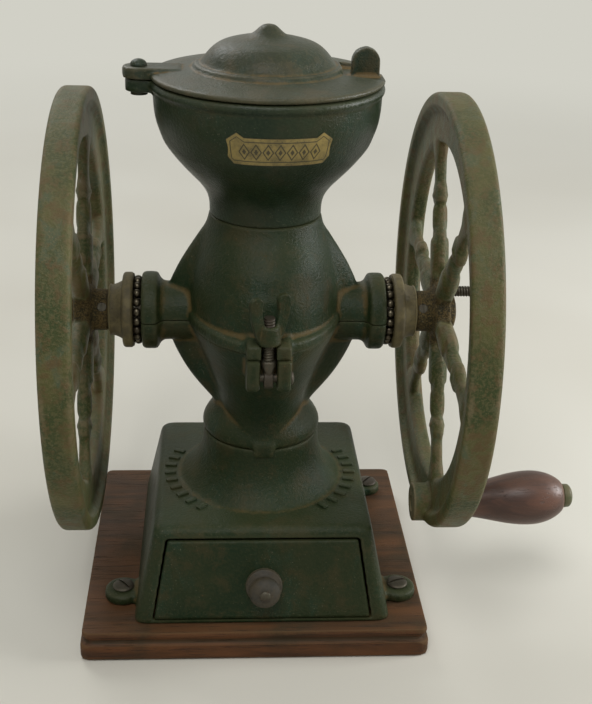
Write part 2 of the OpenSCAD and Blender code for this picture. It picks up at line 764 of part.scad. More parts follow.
module turning_burr() color("lightslategray") on_shaft(burr_face - grind_gap) difference() {
    union() {
        translate([0, 0, -turning_burr_thickness]) difference() {
            cylinder(r = turning_burr_radius, h = turning_burr_thickness);
            translate([0, 0, turning_burr_thickness])
                grooves(turning_burr_radius, 1.2, feed_hole_radius - 1);
        }
        cylinder(r = feed_hole_radius - 3, h = breaker_length);
        for (i = [0:2]) rotate([0, 0, 120 * i]) translate([0, 0, fixed_burr_thickness + 2.5])
            translate([0, -1.5, 0]) cube([trough_radius - 2.5, 3, breaker_length - fixed_burr_thickness - 2.5]);
    }
    translate([0, 0, -far / 2]) cylinder(r = shaft_radius + seat_gap, h = far);
    translate([0, 0, 20]) rotate([90, 0, 0]) cylinder(r = burr_pin_radius + seat_gap, h = far, center = true);
}

burr_pin_radius = 1.5;
burr_pin_x = burr_face - grind_gap + 20;

module burr_pin() color("silver") translate([burr_pin_x, 0, shaft_z]) rotate([90, 0, 0])
    cylinder(r = burr_pin_radius, h = 2 * feed_hole_radius - 7, center = true);

module shaft() color("silver") difference() {
    on_shaft(-shaft_end) cylinder(r = shaft_radius, h = 2 * shaft_end);
    translate([burr_pin_x, 0, shaft_z]) rotate([90, 0, 0])
        cylinder(r = burr_pin_radius + seat_gap, h = far, center = true);
}

module ball_ring(side) color("gainsboro") on_shaft(boss_face + ball_gap / 2, side)
    for (i = [0:ball_count - 1]) rotate([0, 0, 360 * i / ball_count])
        translate([ball_circle, 0, 0]) sphere(ball_diameter / 2, $fn = 24);

flange_profile = concat(
    [[shaft_radius + seat_gap, 0]],
    arc(flange_radius - 1.5, 1.5, 1.5, -90, 0, 3),
    arc(flange_radius - 1.5, flange_thickness - 1.5, 1.5, 0, 90, 3),
    [for (t = [0:0.2:1]) [
        trumpet_radius + 2.2 * pow(1 - t, 2), flange_thickness + (trumpet_length - seat_gap) * t]],
    [[shaft_radius + seat_gap, flange_thickness + trumpet_length - seat_gap]]
);

module thrust_flange(side) color("peru") on_shaft(0, side) difference() {
    translate([0, 0, flange_start]) rotate_extrude() polygon(flange_profile);
    ball_track();
}

// ---- wheels

web_in = rim_start - spoke_start; // lip's inner side, seen from the spokes' inner face
web_out = rim_end - spoke_start;
lip_root = wheel_radius - rim_lip_depth;
web_bore = wheel_radius - rim_depth;

rim_profile = concat(
    arc(web_bore + 2, 2, 2, 180, 270, 4),
    arc(lip_root - 3.3, web_in + 0.1, -web_in, 90, 15, 4),
    arc(lip_root + 1, web_in + 1, 1, 180, 270, 2),
    arc(wheel_radius - 2, web_in + 2, 2, -90, 0, 4),
    arc(wheel_radius - 2, web_out - 2, 2, 0, 90, 4),
    arc(lip_root + 1, web_out - 1, 1, 90, 180, 2),
    arc(lip_root - 3.3, web_out - 0.1, web_out - rim_web_thickness, -15, -90, 4),
    arc(web_bore + 2, rim_web_thickness - 2, 2, 90, 180, 4)
);

hub_profile = concat(
    [[shaft_radius + seat_gap, -hub_inner_length], [hub_radius - 1, -hub_inner_length],
     [hub_radius, 1 - hub_inner_length], [hub_radius, -2]],
    arc(hub_disc_radius - 1.2, 0.4, 1.2, -90, 0, 3),
    arc(hub_disc_radius - 1.2, spoke_thickness - 0.4, 1.2, 0, 90, 3),
    [[hub_radius - 1.3, spoke_thickness + 1.4], [hub_radius - 1.3, spoke_thickness + hub_outer_length - 1],
     [hub_radius - 2.3, spoke_thickness + hub_outer_length], [shaft_radius + seat_gap, spoke_thickness + hub_outer_length]]
);

// half width of a spoke against the share of the way from the hub to the rim
spoke_shares = [
    [0, spoke_half_width], [0.10, spoke_waist - 0.5], [0.22, spoke_half_width], [0.34, spoke_half_width],
    [0.52, spoke_waist], [0.58, spoke_waist], [0.61, spoke_half_width], [0.67, spoke_half_width],
    [0.74, spoke_waist], [0.84, spoke_waist + 0.5], [1, spoke_half_width + 1.5]
];
spoke_from = 9;
spoke_to = web_bore + 2;

function spoke_edge(side) = [for (i = [0:36])
    let (t = (side > 0 ? i : 36 - i) / 36)
    [spoke_from + (spoke_to - spoke_from) * t, side * ease(t, spoke_shares)]];

// pointed leaf between two distances from the hub
module leaf(from, to, half_width) {
    length = (to - from) / 2;
    bow = (length * length + half_width * half_width) / (2 * half_width);
    translate([(from + to) / 2, 0]) intersection() {
        translate([0, bow - half_width]) circle(bow);
        translate([0, half_width - bow]) circle(bow);
    }
}

// bud with a round tip, which grows from the hub to a distance from it
bud_from = spoke_from + 4;
bud_to = spoke_from + 0.37 * (spoke_to - spoke_from);

module bud(inset) {
    tip = spoke_half_width - 1.2 - inset;
    polygon(concat(arc(bud_to - tip - inset, 0, tip, -80, 80, 8), arc(bud_from, 0, tip * 0.62, 100, 260, 5)));
}

module spoke() {
    linear_extrude(spoke_thickness) polygon(concat(spoke_edge(-1), spoke_edge(1)));
    translate([0, 0, -bud_height / 2]) linear_extrude(spoke_thickness + bud_height) bud(0);
    translate([0, 0, -bud_height]) linear_extrude(spoke_thickness + 2 * bud_height) bud(1.2);
    translate([0, 0, -leaf_height]) linear_extrude(spoke_thickness + 2 * leaf_height)
        leaf(spoke_from + 0.4 * (spoke_to - spoke_from), spoke_from + 0.575 * (spoke_to - spoke_from),
            spoke_waist - 1.3);
    // bead across the spoke
    translate([spoke_from + 0.64 * (spoke_to - spoke_from), 0, -leaf_height])
        rounded_slab(spoke_half_width - 1.5, 2 * spoke_half_width - 2, spoke_thickness + 2 * leaf_height, 2);
}

module spokes() {
    for (i = [0:spoke_count - 1]) rotate([0, 0, 90 + 360 * i / spoke_count + spoke_turn]) spoke();
}

set_screw_radius = 2.2;
set_screw_turn = 150; // from the back of the mill, over the top, towards the viewer

// a shape made along +Z, standing on the hub at the set screw's place
module at_set_screw(side) {
    mirror([side < 0 ? 1 : 0, 0, 0]) translate([hub_start + 3.2, 0, shaft_z])
        rotate([set_screw_turn - 90, 0, 0]) children();
}

module wheel(side) {
    difference() {
        on_shaft(spoke_start, side) difference() {
            union() {
                rotate_extrude($fn = 96) polygon(rim_profile);
                rotate_extrude() polygon(hub_profile);
                spokes();
            }
            translate([0, 0, -far / 2]) cylinder(r = shaft_radius + seat_gap, h = far);
        }
        at_set_screw(side) cylinder(r = set_screw_radius + seat_gap, h = far);
    }
}

// place of the handle on the rim's outer plane, turned so that +Z runs along the handle
module at_handle() {
    translate([rim_end, handle_reach * cos(handle_turn), shaft_z + handle_reach * sin(handle_turn)])
        rotate([0, 90 - handle_tilt, 0]) children();
}

module at_adjuster() {
    adjuster_reach = hub_disc_radius - 3;
    adjuster_turn = 99;
    translate([spoke_start, adjuster_reach * cos(adjuster_turn), shaft_z + adjuster_reach * sin(adjuster_turn)])
        rotate([0, 90, 0]) children();
}

module wheel_left() color("cadetblue") wheel(-1);

module wheel_right() color("cadetblue") difference() {
    union() {
        wheel(1);
        translate([rim_start - handle_boss_length, handle_reach * cos(handle_turn),
            shaft_z + handle_reach * sin(handle_turn)])
            rotate([0, 90, 0]) cylinder(r = handle_boss_radius, h = handle_boss_length + rim_width);
        at_adjuster() cylinder(r = adjuster_radius + 1.8, h = spoke_thickness + 1);
    }
    at_handle() cylinder(r = stud_radius + seat_gap, h = far, center = true);
    at_adjuster() translate([0, 0, 1.5]) cylinder(r = adjuster_radius + seat_gap, h = far);
}

module set_screw(side) color("dimgray") at_set_screw(side) difference() {
    translate([0, 0, shaft_radius + running_gap])
        cylinder(r = set_screw_radius, h = hub_radius - shaft_radius - 0.3);
    translate([-0.5, -far / 2, hub_radius - 1.2]) cube([1, far, far]);
}

module adjusting_stud() color("dimgray") at_adjuster() translate([0, 0, 1.6]) {
    cylinder(r = adjuster_radius, h = adjuster_length + spoke_thickness - 2.4);
    translate([0, 0, adjuster_length + spoke_thickness - 2.4])
        cylinder(r1 = adjuster_radius, r2 = adjuster_radius - 0.8, h = 0.8);
}

// ---- handle

stud_tail = rim_width + handle_boss_length - 1;
grip_start = 0.5;
grip_end = grip_start + grip_length;

module handle_stud() color("darkseagreen") at_handle() {
    translate([0, 0, -stud_tail]) cylinder(r = stud_radius, h = stud_tail + grip_end + 1);
    translate([0, 0, grip_end + 0.3]) rotate_extrude() polygon(concat(
        [[0, 0], [button_radius - 0.8, 0]],
        arc(button_radius - 0.8, 0.8, 0.8, -90, 0, 2),
        [for (a = [0:15:90]) [button_radius * cos(a) * 0.98, button_height * (0.45 + 0.55 * sin(a))]]));
}

grip_belly = 0.7; // share of the grip's length where it is broadest
grip_round = 0.35; // share of the length in which its end would close to a point

function grip_reach(t) = t < grip_belly ?
    grip_neck_radius + (grip_radius - grip_neck_radius) * (1 - cos(180 * t / grip_belly)) / 2 :
    grip_radius * sqrt(1 - pow((t - grip_belly) / grip_round, 2));

module handle_grip() color("sienna") at_handle() rotate_extrude() polygon(concat(
    [[stud_radius + running_gap, grip_start], [grip_neck_radius - 0.6, grip_start]],
    [for (t = [0.02:0.035:1]) [grip_reach(t), grip_start + grip_length * t]],
    [[grip_reach(1), grip_end], [stud_radius + running_gap, grip_end]]));

// ---- hopper and lid

// each row is a share of the height, then how far the bowl has gone from the neck to the rim
bowl_shares = [
    [0, 0], [0.085, 0.01], [0.165, 0.06], [0.245, 0.18], [0.32, 0.34], [0.40, 0.51], [0.48, 0.66],
    [0.555, 0.78], [0.63, 0.85], [0.71, 0.91], [0.79, 0.945], [0.90, 0.975]
];
bowl_reach = hopper_rim_radius - hopper_neck_radius;
bead_start = hopper_height - rim_bead_height;

bowl_outside = [for (s = bowl_shares) [hopper_neck_radius + bowl_reach * s[1], hopper_height * s[0]]];
bowl_inside = [for (i = [len(bowl_shares) - 1:-1:0]) let (s = bowl_shares[i])
    [max(throat_radius, hopper_neck_radius + bowl_reach * s[1] - hopper_wall * (1 + 1.2 * pow(1 - s[0], 6))),
     hopper_height * s[0] + 1]];

hopper_profile = concat(
    [[throat_radius, -5], [spigot_radius, -5], [spigot_radius, 0]],
    bowl_outside,
    arc(hopper_rim_radius - rim_bead_height / 2, bead_start + rim_bead_height / 2,
        rim_bead_height / 2, -80, 90, 8),
    [[hopper_rim_radius - hopper_wall - 2.5, hopper_height]],
    bowl_inside
);

module hopper() color("teal") difference() {
    union() {
        translate([0, 0, crown_z + seat_gap]) rotate_extrude($fn = 72) polygon(hopper_profile);
        translate([-pivot_reach, 0, hopper_top + seat_gap - hopper_lug_height])
            cylinder(r = hopper_lug_radius, h = hopper_lug_height - seat_gap);
        translate([-pivot_reach, -hopper_lug_radius, hopper_top + seat_gap - hopper_lug_height])
            cube([pivot_reach - hopper_rim_radius + hopper_wall + 1, 2 * hopper_lug_radius, hopper_lug_height - seat_gap]);
    }
    translate([-pivot_reach, 0, 0]) cylinder(r = rivet_radius + seat_gap, h = far);
}

brim_radius = hopper_rim_radius;

lid_top_profile = concat(
    arc(brim_radius - brim_edge_height / 2, brim_edge_height / 2, brim_edge_height / 2, -90, 70, 6),
    [[dome_radius + 1, brim_height - 0.4]],
    arc(dome_radius - 1.2, brim_height + 0.7, 1.3, -20, 120, 5),
    [for (s = [[0.88, 0.46], [0.82, 0.60], [0.74, 0.74], [0.63, 0.86], [0.46, 0.955], [0.25, 0.995], [0.19, 1.04]])
        [dome_radius * s[0], shoulder_height * s[1]]],
    [for (a = [0:18:90]) [dome_radius * 0.17 * cos(a), shoulder_height * 1.05 + (lid_height - shoulder_height * 1.05) * sin(a)]]
);
lid_under_profile = [
    [0, shoulder_height - lid_wall], [dome_radius * 0.4, shoulder_height * 0.95 - lid_wall],
    [dome_radius * 0.72, shoulder_height * 0.7 - lid_wall], [dome_radius - lid_wall - 1.5, brim_height - 2.3],
    [dome_radius - 0.8, 0]
];

module lid() color("steelblue") translate([0, 0, lid_z]) difference() {
    union() {
        difference() {
            rotate_extrude($fn = 72) polygon(concat(lid_top_profile, lid_under_profile));
            // sunken place round the thumb piece
            translate([dome_radius - 0.6, -recess_front, 1.6])
                cube([brim_radius - dome_radius + 6, recess_front + recess_back, far]);
        }
        // rounded thumb piece
        translate([thumb_reach, thumb_thickness, 0]) rotate([90, 0, 0]) linear_extrude(thumb_thickness) union() {
            translate([0, thumb_height - thumb_width / 2]) circle(thumb_width / 2);
            translate([-thumb_width / 2, 0.5]) square([thumb_width, thumb_height - thumb_width / 2 - 0.5]);
        }
        translate([-pivot_reach, 0, 0]) cylinder(r = lid_lug_radius, h = lid_lug_height);
        translate([-pivot_reach, -lid_lug_radius, 0])
            cube([pivot_reach - dome_radius - 6.5, 2 * lid_lug_radius, lid_lug_height]);
    }
    translate([-pivot_reach, 0, -1]) cylinder(r = rivet_radius + running_gap, h = far);
    // the strap doesn't reach down into the hollow under the dome
    translate([0, 0, -small]) rotate_extrude($fn = 72) polygon(concat([[0, 0]], lid_under_profile));
}

module lid_rivet() color("silver") translate([-pivot_reach, 0, 0]) {
    tail_z = hopper_top + seat_gap - hopper_lug_height - 1.6;
    translate([0, 0, tail_z]) cylinder(r = rivet_radius + 1.5, h = 1.5);
    translate([0, 0, tail_z]) cylinder(r = rivet_radius, h = lid_z + lid_lug_height + 1 - tail_z);
    translate([0, 0, lid_z + lid_lug_height + free_gap]) rotate_extrude()
        polygon(concat([[0, 0]], [for (a = [0:15:90]) [(rivet_radius + 1.5) * cos(a), 2.8 * sin(a)]]));
}

// ---- clamp and hinge pins

// round stem above, and a flat link that broadens up to its shoulder just under the parting plane
module clamp_bolt() color("darkgray") difference() {
    union() {
        translate([clamp_x, -clamp_reach, pin_z]) cylinder(r = bolt_radius, h = bolt_length);
        hull() {
            translate([clamp_x - eye_width / 2, -clamp_reach, pin_z]) rotate([0, 90, 0])
                cylinder(r = eye_radius, h = eye_width);
            translate([clamp_x, -clamp_reach, shaft_z - 2.6]) cylinder(r = bolt_radius + 0.8, h = 1.6);
        }
    }
    clamp_pin_hole(running_gap);
}

nut_seat = upper_lug_top + 0.1;
wing_thickness = 3.2;
lobe_radius = 3.4;

// one wing seen from the front: a curved arm from the hub, and a round lobe on its end
module wing() {
    arm_top = wing_height - lobe_radius;
    polygon(concat(
        [[nut_radius * 0.4, nut_height * 0.75], [nut_radius * 0.4, 1]],
        arc(nut_radius - 2, 3, 2, -90, 0, 3),
        [[wing_reach - 0.6, arm_top * 0.62], [wing_reach, arm_top],
         [wing_reach - 2 * lobe_radius, arm_top], [wing_reach - 2 * lobe_radius + 1, arm_top * 0.7]]));
    translate([wing_reach - lobe_radius, arm_top]) circle(lobe_radius);
}

module clamp_wing_nut() color("goldenrod") translate([clamp_x, -clamp_reach, nut_seat])
    rotate([0, 0, nut_turn]) difference() {
        union() {
            rotate_extrude() polygon(concat(
                [[0, 0], [nut_radius - 1, 0]], arc(nut_radius - 1.2, 1.2, 1.2, -80, 20, 4),
                [[nut_radius * 0.8, nut_height - 0.8], [nut_radius * 0.8 - 0.8, nut_height], [0, nut_height]]));
            rotate([90, 0, 0]) linear_extrude(wing_thickness, center = true) {
                wing();
                mirror([1, 0]) wing();
            }
        }
        translate([0, 0, -1]) cylinder(r = bolt_radius + running_gap, h = far);
    }

module clamp_pin() color("silver") translate([clamp_x - clamp_width / 2, -clamp_reach, pin_z]) rotate([0, 90, 0]) {
    cylinder(r = pin_radius, h = clamp_width + 0.5);
    translate([0, 0, clamp_width + seat_gap]) rotate_extrude()
        polygon(concat([[0, 0]], [for (a = [0:15:90]) [(pin_radius + 1.4) * cos(a), 1.6 * sin(a)]]));
}

module hinge_pin() color("silver") translate([-hinge_width / 2 - 0.8, hinge_reach, shaft_z]) rotate([0, 90, 0])
    cylinder(r = pin_radius, h = hinge_width + 1.6);

wood_board();
base_casting();
base_screw(0);  // base_screw_front_left
base_screw(1);  // base_screw_front_right
base_screw(2);  // base_screw_rear_right
drawer_box();
drawer_front();
drawer_knob();
drawer_knob_screw();
lower_housing();
upper_housing();
fixed_burr();
turning_burr();
burr_pin();
shaft();
ball_ring(-1);  // ball_ring_left
ball_ring(1);  // ball_ring_right
thrust_flange(-1);  // thrust_flange_left
thrust_flange(1);  // thrust_flange_right
wheel_left();
wheel_right();
set_screw(-1);  // set_screw_left
set_screw(1);  // set_screw_right
adjusting_stud();
handle_stud();
handle_grip();
hopper();
lid();
lid_rivet();
clamp_bolt();
clamp_wing_nut();
clamp_pin();
hinge_pin();
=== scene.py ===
import math

import bmesh
import bpy
import numpy as np
from mathutils import Matrix, Vector


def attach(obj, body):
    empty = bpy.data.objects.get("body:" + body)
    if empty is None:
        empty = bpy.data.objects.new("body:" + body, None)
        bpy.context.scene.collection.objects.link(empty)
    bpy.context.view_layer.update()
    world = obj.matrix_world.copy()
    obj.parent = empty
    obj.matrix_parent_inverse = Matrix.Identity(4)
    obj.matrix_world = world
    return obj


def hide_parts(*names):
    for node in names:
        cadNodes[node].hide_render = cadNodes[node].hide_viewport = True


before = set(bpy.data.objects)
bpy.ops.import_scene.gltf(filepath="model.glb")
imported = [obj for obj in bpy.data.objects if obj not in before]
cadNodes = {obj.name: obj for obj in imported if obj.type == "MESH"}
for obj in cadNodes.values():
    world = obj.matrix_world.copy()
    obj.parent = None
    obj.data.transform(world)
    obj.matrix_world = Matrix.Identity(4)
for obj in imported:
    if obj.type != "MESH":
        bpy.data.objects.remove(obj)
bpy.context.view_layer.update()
print("mill frame loaded,", len(cadNodes), "nodes")

# heights and places that the pieces share, in millimetres
level = {"boardTop": 16.3, "baseTop": 65.4, "bellTop": 94.5, "shaft": 160.0, "crown": 213.2,
         "hopperTop": 278.0, "lid": 278.3, "slope": math.atan(13.0 / 49.1)}
toMetres = Matrix.Scale(0.001, 4)


# a socket that takes part in sums written as plain expressions
class Wire:
    def __init__(self, sheet, socket):
        self.sheet = sheet
        self.socket = socket

    def __add__(self, other):
        return self.sheet.sum("ADD", self, other)

    __radd__ = __add__

    def __mul__(self, other):
        return self.sheet.sum("MULTIPLY", self, other)

    __rmul__ = __mul__

    def __sub__(self, other):
        return self.sheet.sum("SUBTRACT", self, other)

    def __rsub__(self, other):
        return self.sheet.sum("SUBTRACT", other, self)


# adds nodes to one tree
class Sheet:
    def __init__(self, tree):
        self.tree = tree

    def add(self, kind, settings=None, sockets=None, out=0):
        made = self.tree.nodes.new(kind)
        for key, value in (settings or {}).items():
            setattr(made, key, value)
        for key, value in (sockets or {}).items():
            if isinstance(value, Wire):
                self.tree.links.new(value.socket, made.inputs[key])
            else:
                made.inputs[key].default_value = value
        return Wire(self, made.outputs[out]) if len(made.outputs) else made

    def sum(self, operation, a, b):
        return self.add("ShaderNodeMath", {"operation": operation}, {0: a, 1: b})

    def greater(self, a, b):
        return self.sum("MAXIMUM", a, b)

    # 0 below low, 1 above high, soft between
    def rise(self, value, low, high):
        settings = {"interpolation_type": "SMOOTHSTEP"}
        return self.add("ShaderNodeMapRange", settings, {0: value, 1: low, 2: high, 3: 0.0, 4: 1.0})

    def tint(self, factor, low, high):
        return self.add("ShaderNodeMix", {"data_type": "RGBA"}, {0: factor, 6: low, 7: high}, out=2)

    def stretch(self, place, scale):
        return self.add("ShaderNodeVectorMath", {"operation": "MULTIPLY"}, {0: place, 1: scale})

    def noise(self, place, scale, detail, roughness, distortion=0.0):
        sockets = {"Vector": place, "Scale": scale, "Detail": detail, "Roughness": roughness,
                   "Distortion": distortion}
        return self.add("ShaderNodeTexNoise", {}, sockets)

    def measures(self, *names):
        kind = "ShaderNodeAttribute"
        return [self.add(kind, {"attribute_name": name}, {}, out="Fac") for name in names]


# a colour as it is seen, 0 to 255, made linear
def shade(red, green, blue):
    seen = [c / 255 for c in (red, green, blue)]
    linear = [c / 12.92 if c <= 0.04045 else ((c + 0.055) / 1.055) ** 2.4 for c in seen]
    return (*linear, 1.0)


# an empty material, its sheet, and the place on the piece that its patterns read
def newFinish(name):
    finish = bpy.data.materials.new(name)
    finish.use_nodes = True
    finish.node_tree.nodes.clear()
    sheet = Sheet(finish.node_tree)
    return finish, sheet, sheet.add("ShaderNodeTexCoord", {}, {}, out="Object")


# joins colour, gloss and relief to the surface
def surface(sheet, colour, roughness, metallic, height, relief, coat=0.0, shine=0.5):
    bump = sheet.add("ShaderNodeBump", {}, {"Strength": 1.0, "Distance": relief, "Height": height})
    shader = sheet.add("ShaderNodeBsdfPrincipled", {}, {
        "Base Color": colour, "Roughness": roughness, "Metallic": metallic, "Normal": bump,
        "Coat Weight": coat, "Coat Roughness": 0.3, "Specular IOR Level": shine})
    sheet.add("ShaderNodeOutputMaterial", {}, {"Surface": shader})


# old paint on cast iron: tones of paint, brown patina, dust with painted top light on faces
# that look up, rusty dirt in hollows, specks, rubbed edges, and a crust where the piece carries one
def paintedIron(name, look):
    finish, sheet, place = newFinish(name)
    wear, grime, top, crust = sheet.measures("wear", "grime", "top", "crust")
    broad = sheet.noise(place, look["patchScale"], 3.0, 0.5, 0.4)
    middle = sheet.noise(place, look["stainScale"], 6.0, 0.62, 0.3)
    tall = sheet.stretch(place, (1.0, 1.0, 0.45))
    cloud = sheet.noise(tall, look["stainScale"] * 0.6, 4.0, 0.6, 0.5)
    fine = sheet.noise(place, 700.0, 4.0, 0.6)
    grit = sheet.noise(place, 1500.0, 2.0, 0.5)

    # a mask whose edge is broken up by stains and specks
    def broken(mask, stains, specks, low, high):
        return sheet.rise(mask + stains * (middle - 0.5) + specks * (fine - 0.5), low, high)

    paint = sheet.tint(sheet.rise(broad, 0.38, 0.64), look["paint"], look["paintShade"])
    paint = sheet.tint(sheet.rise(cloud, 0.5, 0.66) * 0.6, paint, look["cool"])
    mottle = sheet.rise(fine + 0.4 * (grit - 0.5), 0.42, 0.62) * look["mottle"]
    paint = sheet.tint(mottle, paint, look["mottled"])
    stained = middle + 0.35 * (broad - 0.5) + 0.2 * (fine - 0.5)
    patina = sheet.rise(stained, look["patinaFrom"], look["patinaFrom"] + 0.2) * look["patinaAmount"]
    # dust with painted top light: the faces that look up are made paler
    dustAndTopLight = broken(top, 0.6, 0.3, 0.2, 1.05) * look["dustAndTopLightAmount"]
    dirt = broken(grime, 0.7, 0.3, 0.18, 0.75) * look["grimeAmount"]
    rubbed = broken(wear, 0.9, 0.4, 0.35, 0.95) * look["wearAmount"]
    for mask, tone in ((patina, "patina"), (dustAndTopLight, "dustAndTopLightTone"), (dirt, "dirt"), (rubbed, "rubbed")):
        paint = sheet.tint(mask, paint, look[tone])
    crusted = sheet.rise(crust + 0.5 * (middle - 0.5), 0.35, 0.65)
    spots = sheet.rise(fine + 0.5 * (middle - 0.5), look["speckFrom"], look["speckFrom"] + 0.05)
    bare = sheet.greater(crusted * 0.9, spots * look["speckAmount"])
    rusty = sheet.rise(grit + 0.6 * (middle - 0.5), 0.42, 0.6)
    colour = sheet.tint(bare, paint, sheet.tint(rusty, look["rustShade"], look["rust"]))
    pale = sheet.rise(grit + 0.3 * (cloud - 0.5), 0.69, 0.72) * look["paleAmount"]
    colour = sheet.tint(pale, colour, look["pale"])
    rough = look["gloss"] + 0.25 * (middle - 0.5) + 0.2 * dustAndTopLight + 0.2 * dirt + 0.3 * bare
    height = 0.4 * middle + 0.45 * fine + 0.2 * grit + 0.6 * crusted * fine - 0.1 * spots
    surface(sheet, colour, rough, 0.0, height, look["relief"], 0.0, look["shine"])
    return finish


# dry rusty iron with no paint left
def rustyIron(name, look):
    finish, sheet, place = newFinish(name)
    wear, grime = sheet.measures("wear", "grime")
    middle = sheet.noise(place, 130.0, 6.0, 0.65, 0.3)
    fine = sheet.noise(place, 800.0, 5.0, 0.65)
    colour = sheet.tint(sheet.rise(middle, 0.36, 0.66), look["rust"], look["crust"])
    rubbed = sheet.rise(wear + 0.5 * (fine - 0.5), 0.2, 0.7) * 0.7
    colour = sheet.tint(rubbed, colour, look["rubbed"])
    hollows = sheet.rise(grime + 0.3 * (fine - 0.5), 0.15, 0.7) * 0.85
    for mask in (hollows, sheet.rise(fine, 0.58, 0.7) * 0.5):
        colour = sheet.tint(mask, colour, look["dirt"])
    rough = 0.62 + 0.3 * (fine - 0.4)
    metal = sheet.rise(wear, 0.3, 0.9) * look["metal"]
    surface(sheet, colour, rough, metal, 0.5 * middle + 0.5 * fine, look["relief"])
    return finish


# turned or drawn steel, tarnished in patches
def agedSteel(name, look):
    finish, sheet, place = newFinish(name)
    brushed = sheet.noise(sheet.stretch(place, look["brush"]), 700.0, 3.0, 0.6)
    patches = sheet.noise(place, 90.0, 5.0, 0.6)
    fine = sheet.noise(place, 1100.0, 3.0, 0.6)
    colour = sheet.tint(sheet.rise(patches, 0.4, 0.68), look["steel"], look["tarnish"])
    colour = sheet.tint(sheet.rise(fine, 0.6, 0.7) * 0.6, colour, look["spot"])
    rough = look["gloss"] + 0.3 * (patches - 0.4) + 0.1 * (brushed - 0.5)
    metal = look["metal"] - 0.5 * sheet.rise(patches, 0.5, 0.75)
    surface(sheet, colour, rough, metal, 0.7 * brushed + 0.3 * fine, look["relief"])
    return finish


# wood whose grain and fibres run along the axis that has the small number
def agedWood(name, look):
    finish, sheet, place = newFinish(name)
    wear, grime, top = sheet.measures("wear", "grime", "top")
    bend = sheet.noise(place, 14.0, 2.0, 0.5)
    rings = sheet.noise(sheet.stretch(place, look["grain"]), look["ringScale"], 3.0, 0.5, 1.2)
    fibres = sheet.noise(sheet.stretch(place, look["fibre"]), look["fibreScale"], 4.0, 0.7)
    pores = sheet.rise(fibres, 0.56, 0.66)
    blotch = sheet.noise(place, 38.0, 5.0, 0.6, 0.3)
    fine = sheet.noise(place, 700.0, 4.0, 0.6)
    stained = sheet.rise(blotch, 0.48, 0.72) * look["stainAmount"]
    # dust with painted top light: the faces that look up are made paler
    dustAndTopLight = sheet.rise(top + 0.9 * (blotch - 0.5), 0.3, 1.1) * look["dustAndTopLightAmount"]
    worn = wear + 0.6 * (fine - 0.5) + 0.4 * (blotch - 0.5)
    rubbed = sheet.rise(worn, look["wearFrom"], look["wearFrom"] + 0.35)
    colour = sheet.tint(sheet.rise(rings + 0.2 * bend, 0.42, 0.78), look["light"], look["dark"])
    dirt = sheet.rise(grime, 0.2, 0.8) * 0.7
    for mask, tone in ((pores * look["poreAmount"], "pore"), (stained, "stain"), (dustAndTopLight, "dustAndTopLightTone"),
                       (rubbed * look["wearAmount"], "bare"), (dirt, "stain")):
        colour = sheet.tint(mask, colour, look[tone])
    rough = look["gloss"] + 0.25 * (blotch - 0.5) + 0.2 * rubbed + 0.15 * dustAndTopLight
    height = 0.5 * rings + 0.35 * fine - 0.5 * pores
    surface(sheet, colour, rough, 0.0, height, look["relief"], look["coat"], look["shine"])
    return finish


# gilt leaf with dark inked lines and rubbed patches
def giltLabel(name, look):
    finish, sheet, place = newFinish(name)
    [border] = sheet.measures("border")
    stain = sheet.noise(place, 160.0, 5.0, 0.65, 0.3)
    fine = sheet.noise(place, 1500.0, 3.0, 0.6)
    inked = sheet.rise(border + 0.25 * (fine - 0.5), 0.45, 0.6)
    lost = sheet.rise(fine + 0.6 * (stain - 0.5), 0.62, 0.72)
    colour = sheet.tint(sheet.rise(stain, 0.4, 0.65), look["gilt"], look["giltShade"])
    colour = sheet.tint(inked * 0.88, colour, look["ink"])
    colour = sheet.tint(lost * 0.8, colour, look["under"])
    height = 0.6 * fine + 0.4 * stain
    surface(sheet, colour, 0.48 + 0.2 * (stain - 0.5), 0.0, height, look["relief"], look["coat"])
    return finish


# one finish for each name: a row of tones or of plain values holds one entry for each,
# and a single entry holds for all
def addFinishes(maker, names, tones, values):
    for place, (key, name) in enumerate(names.items()):
        look = {word: shade(*row[place % len(row)]) for word, row in tones.items()}
        look.update({word: row[place % len(row)] for word, row in values.items()})
        finishes[key] = maker(name, look)


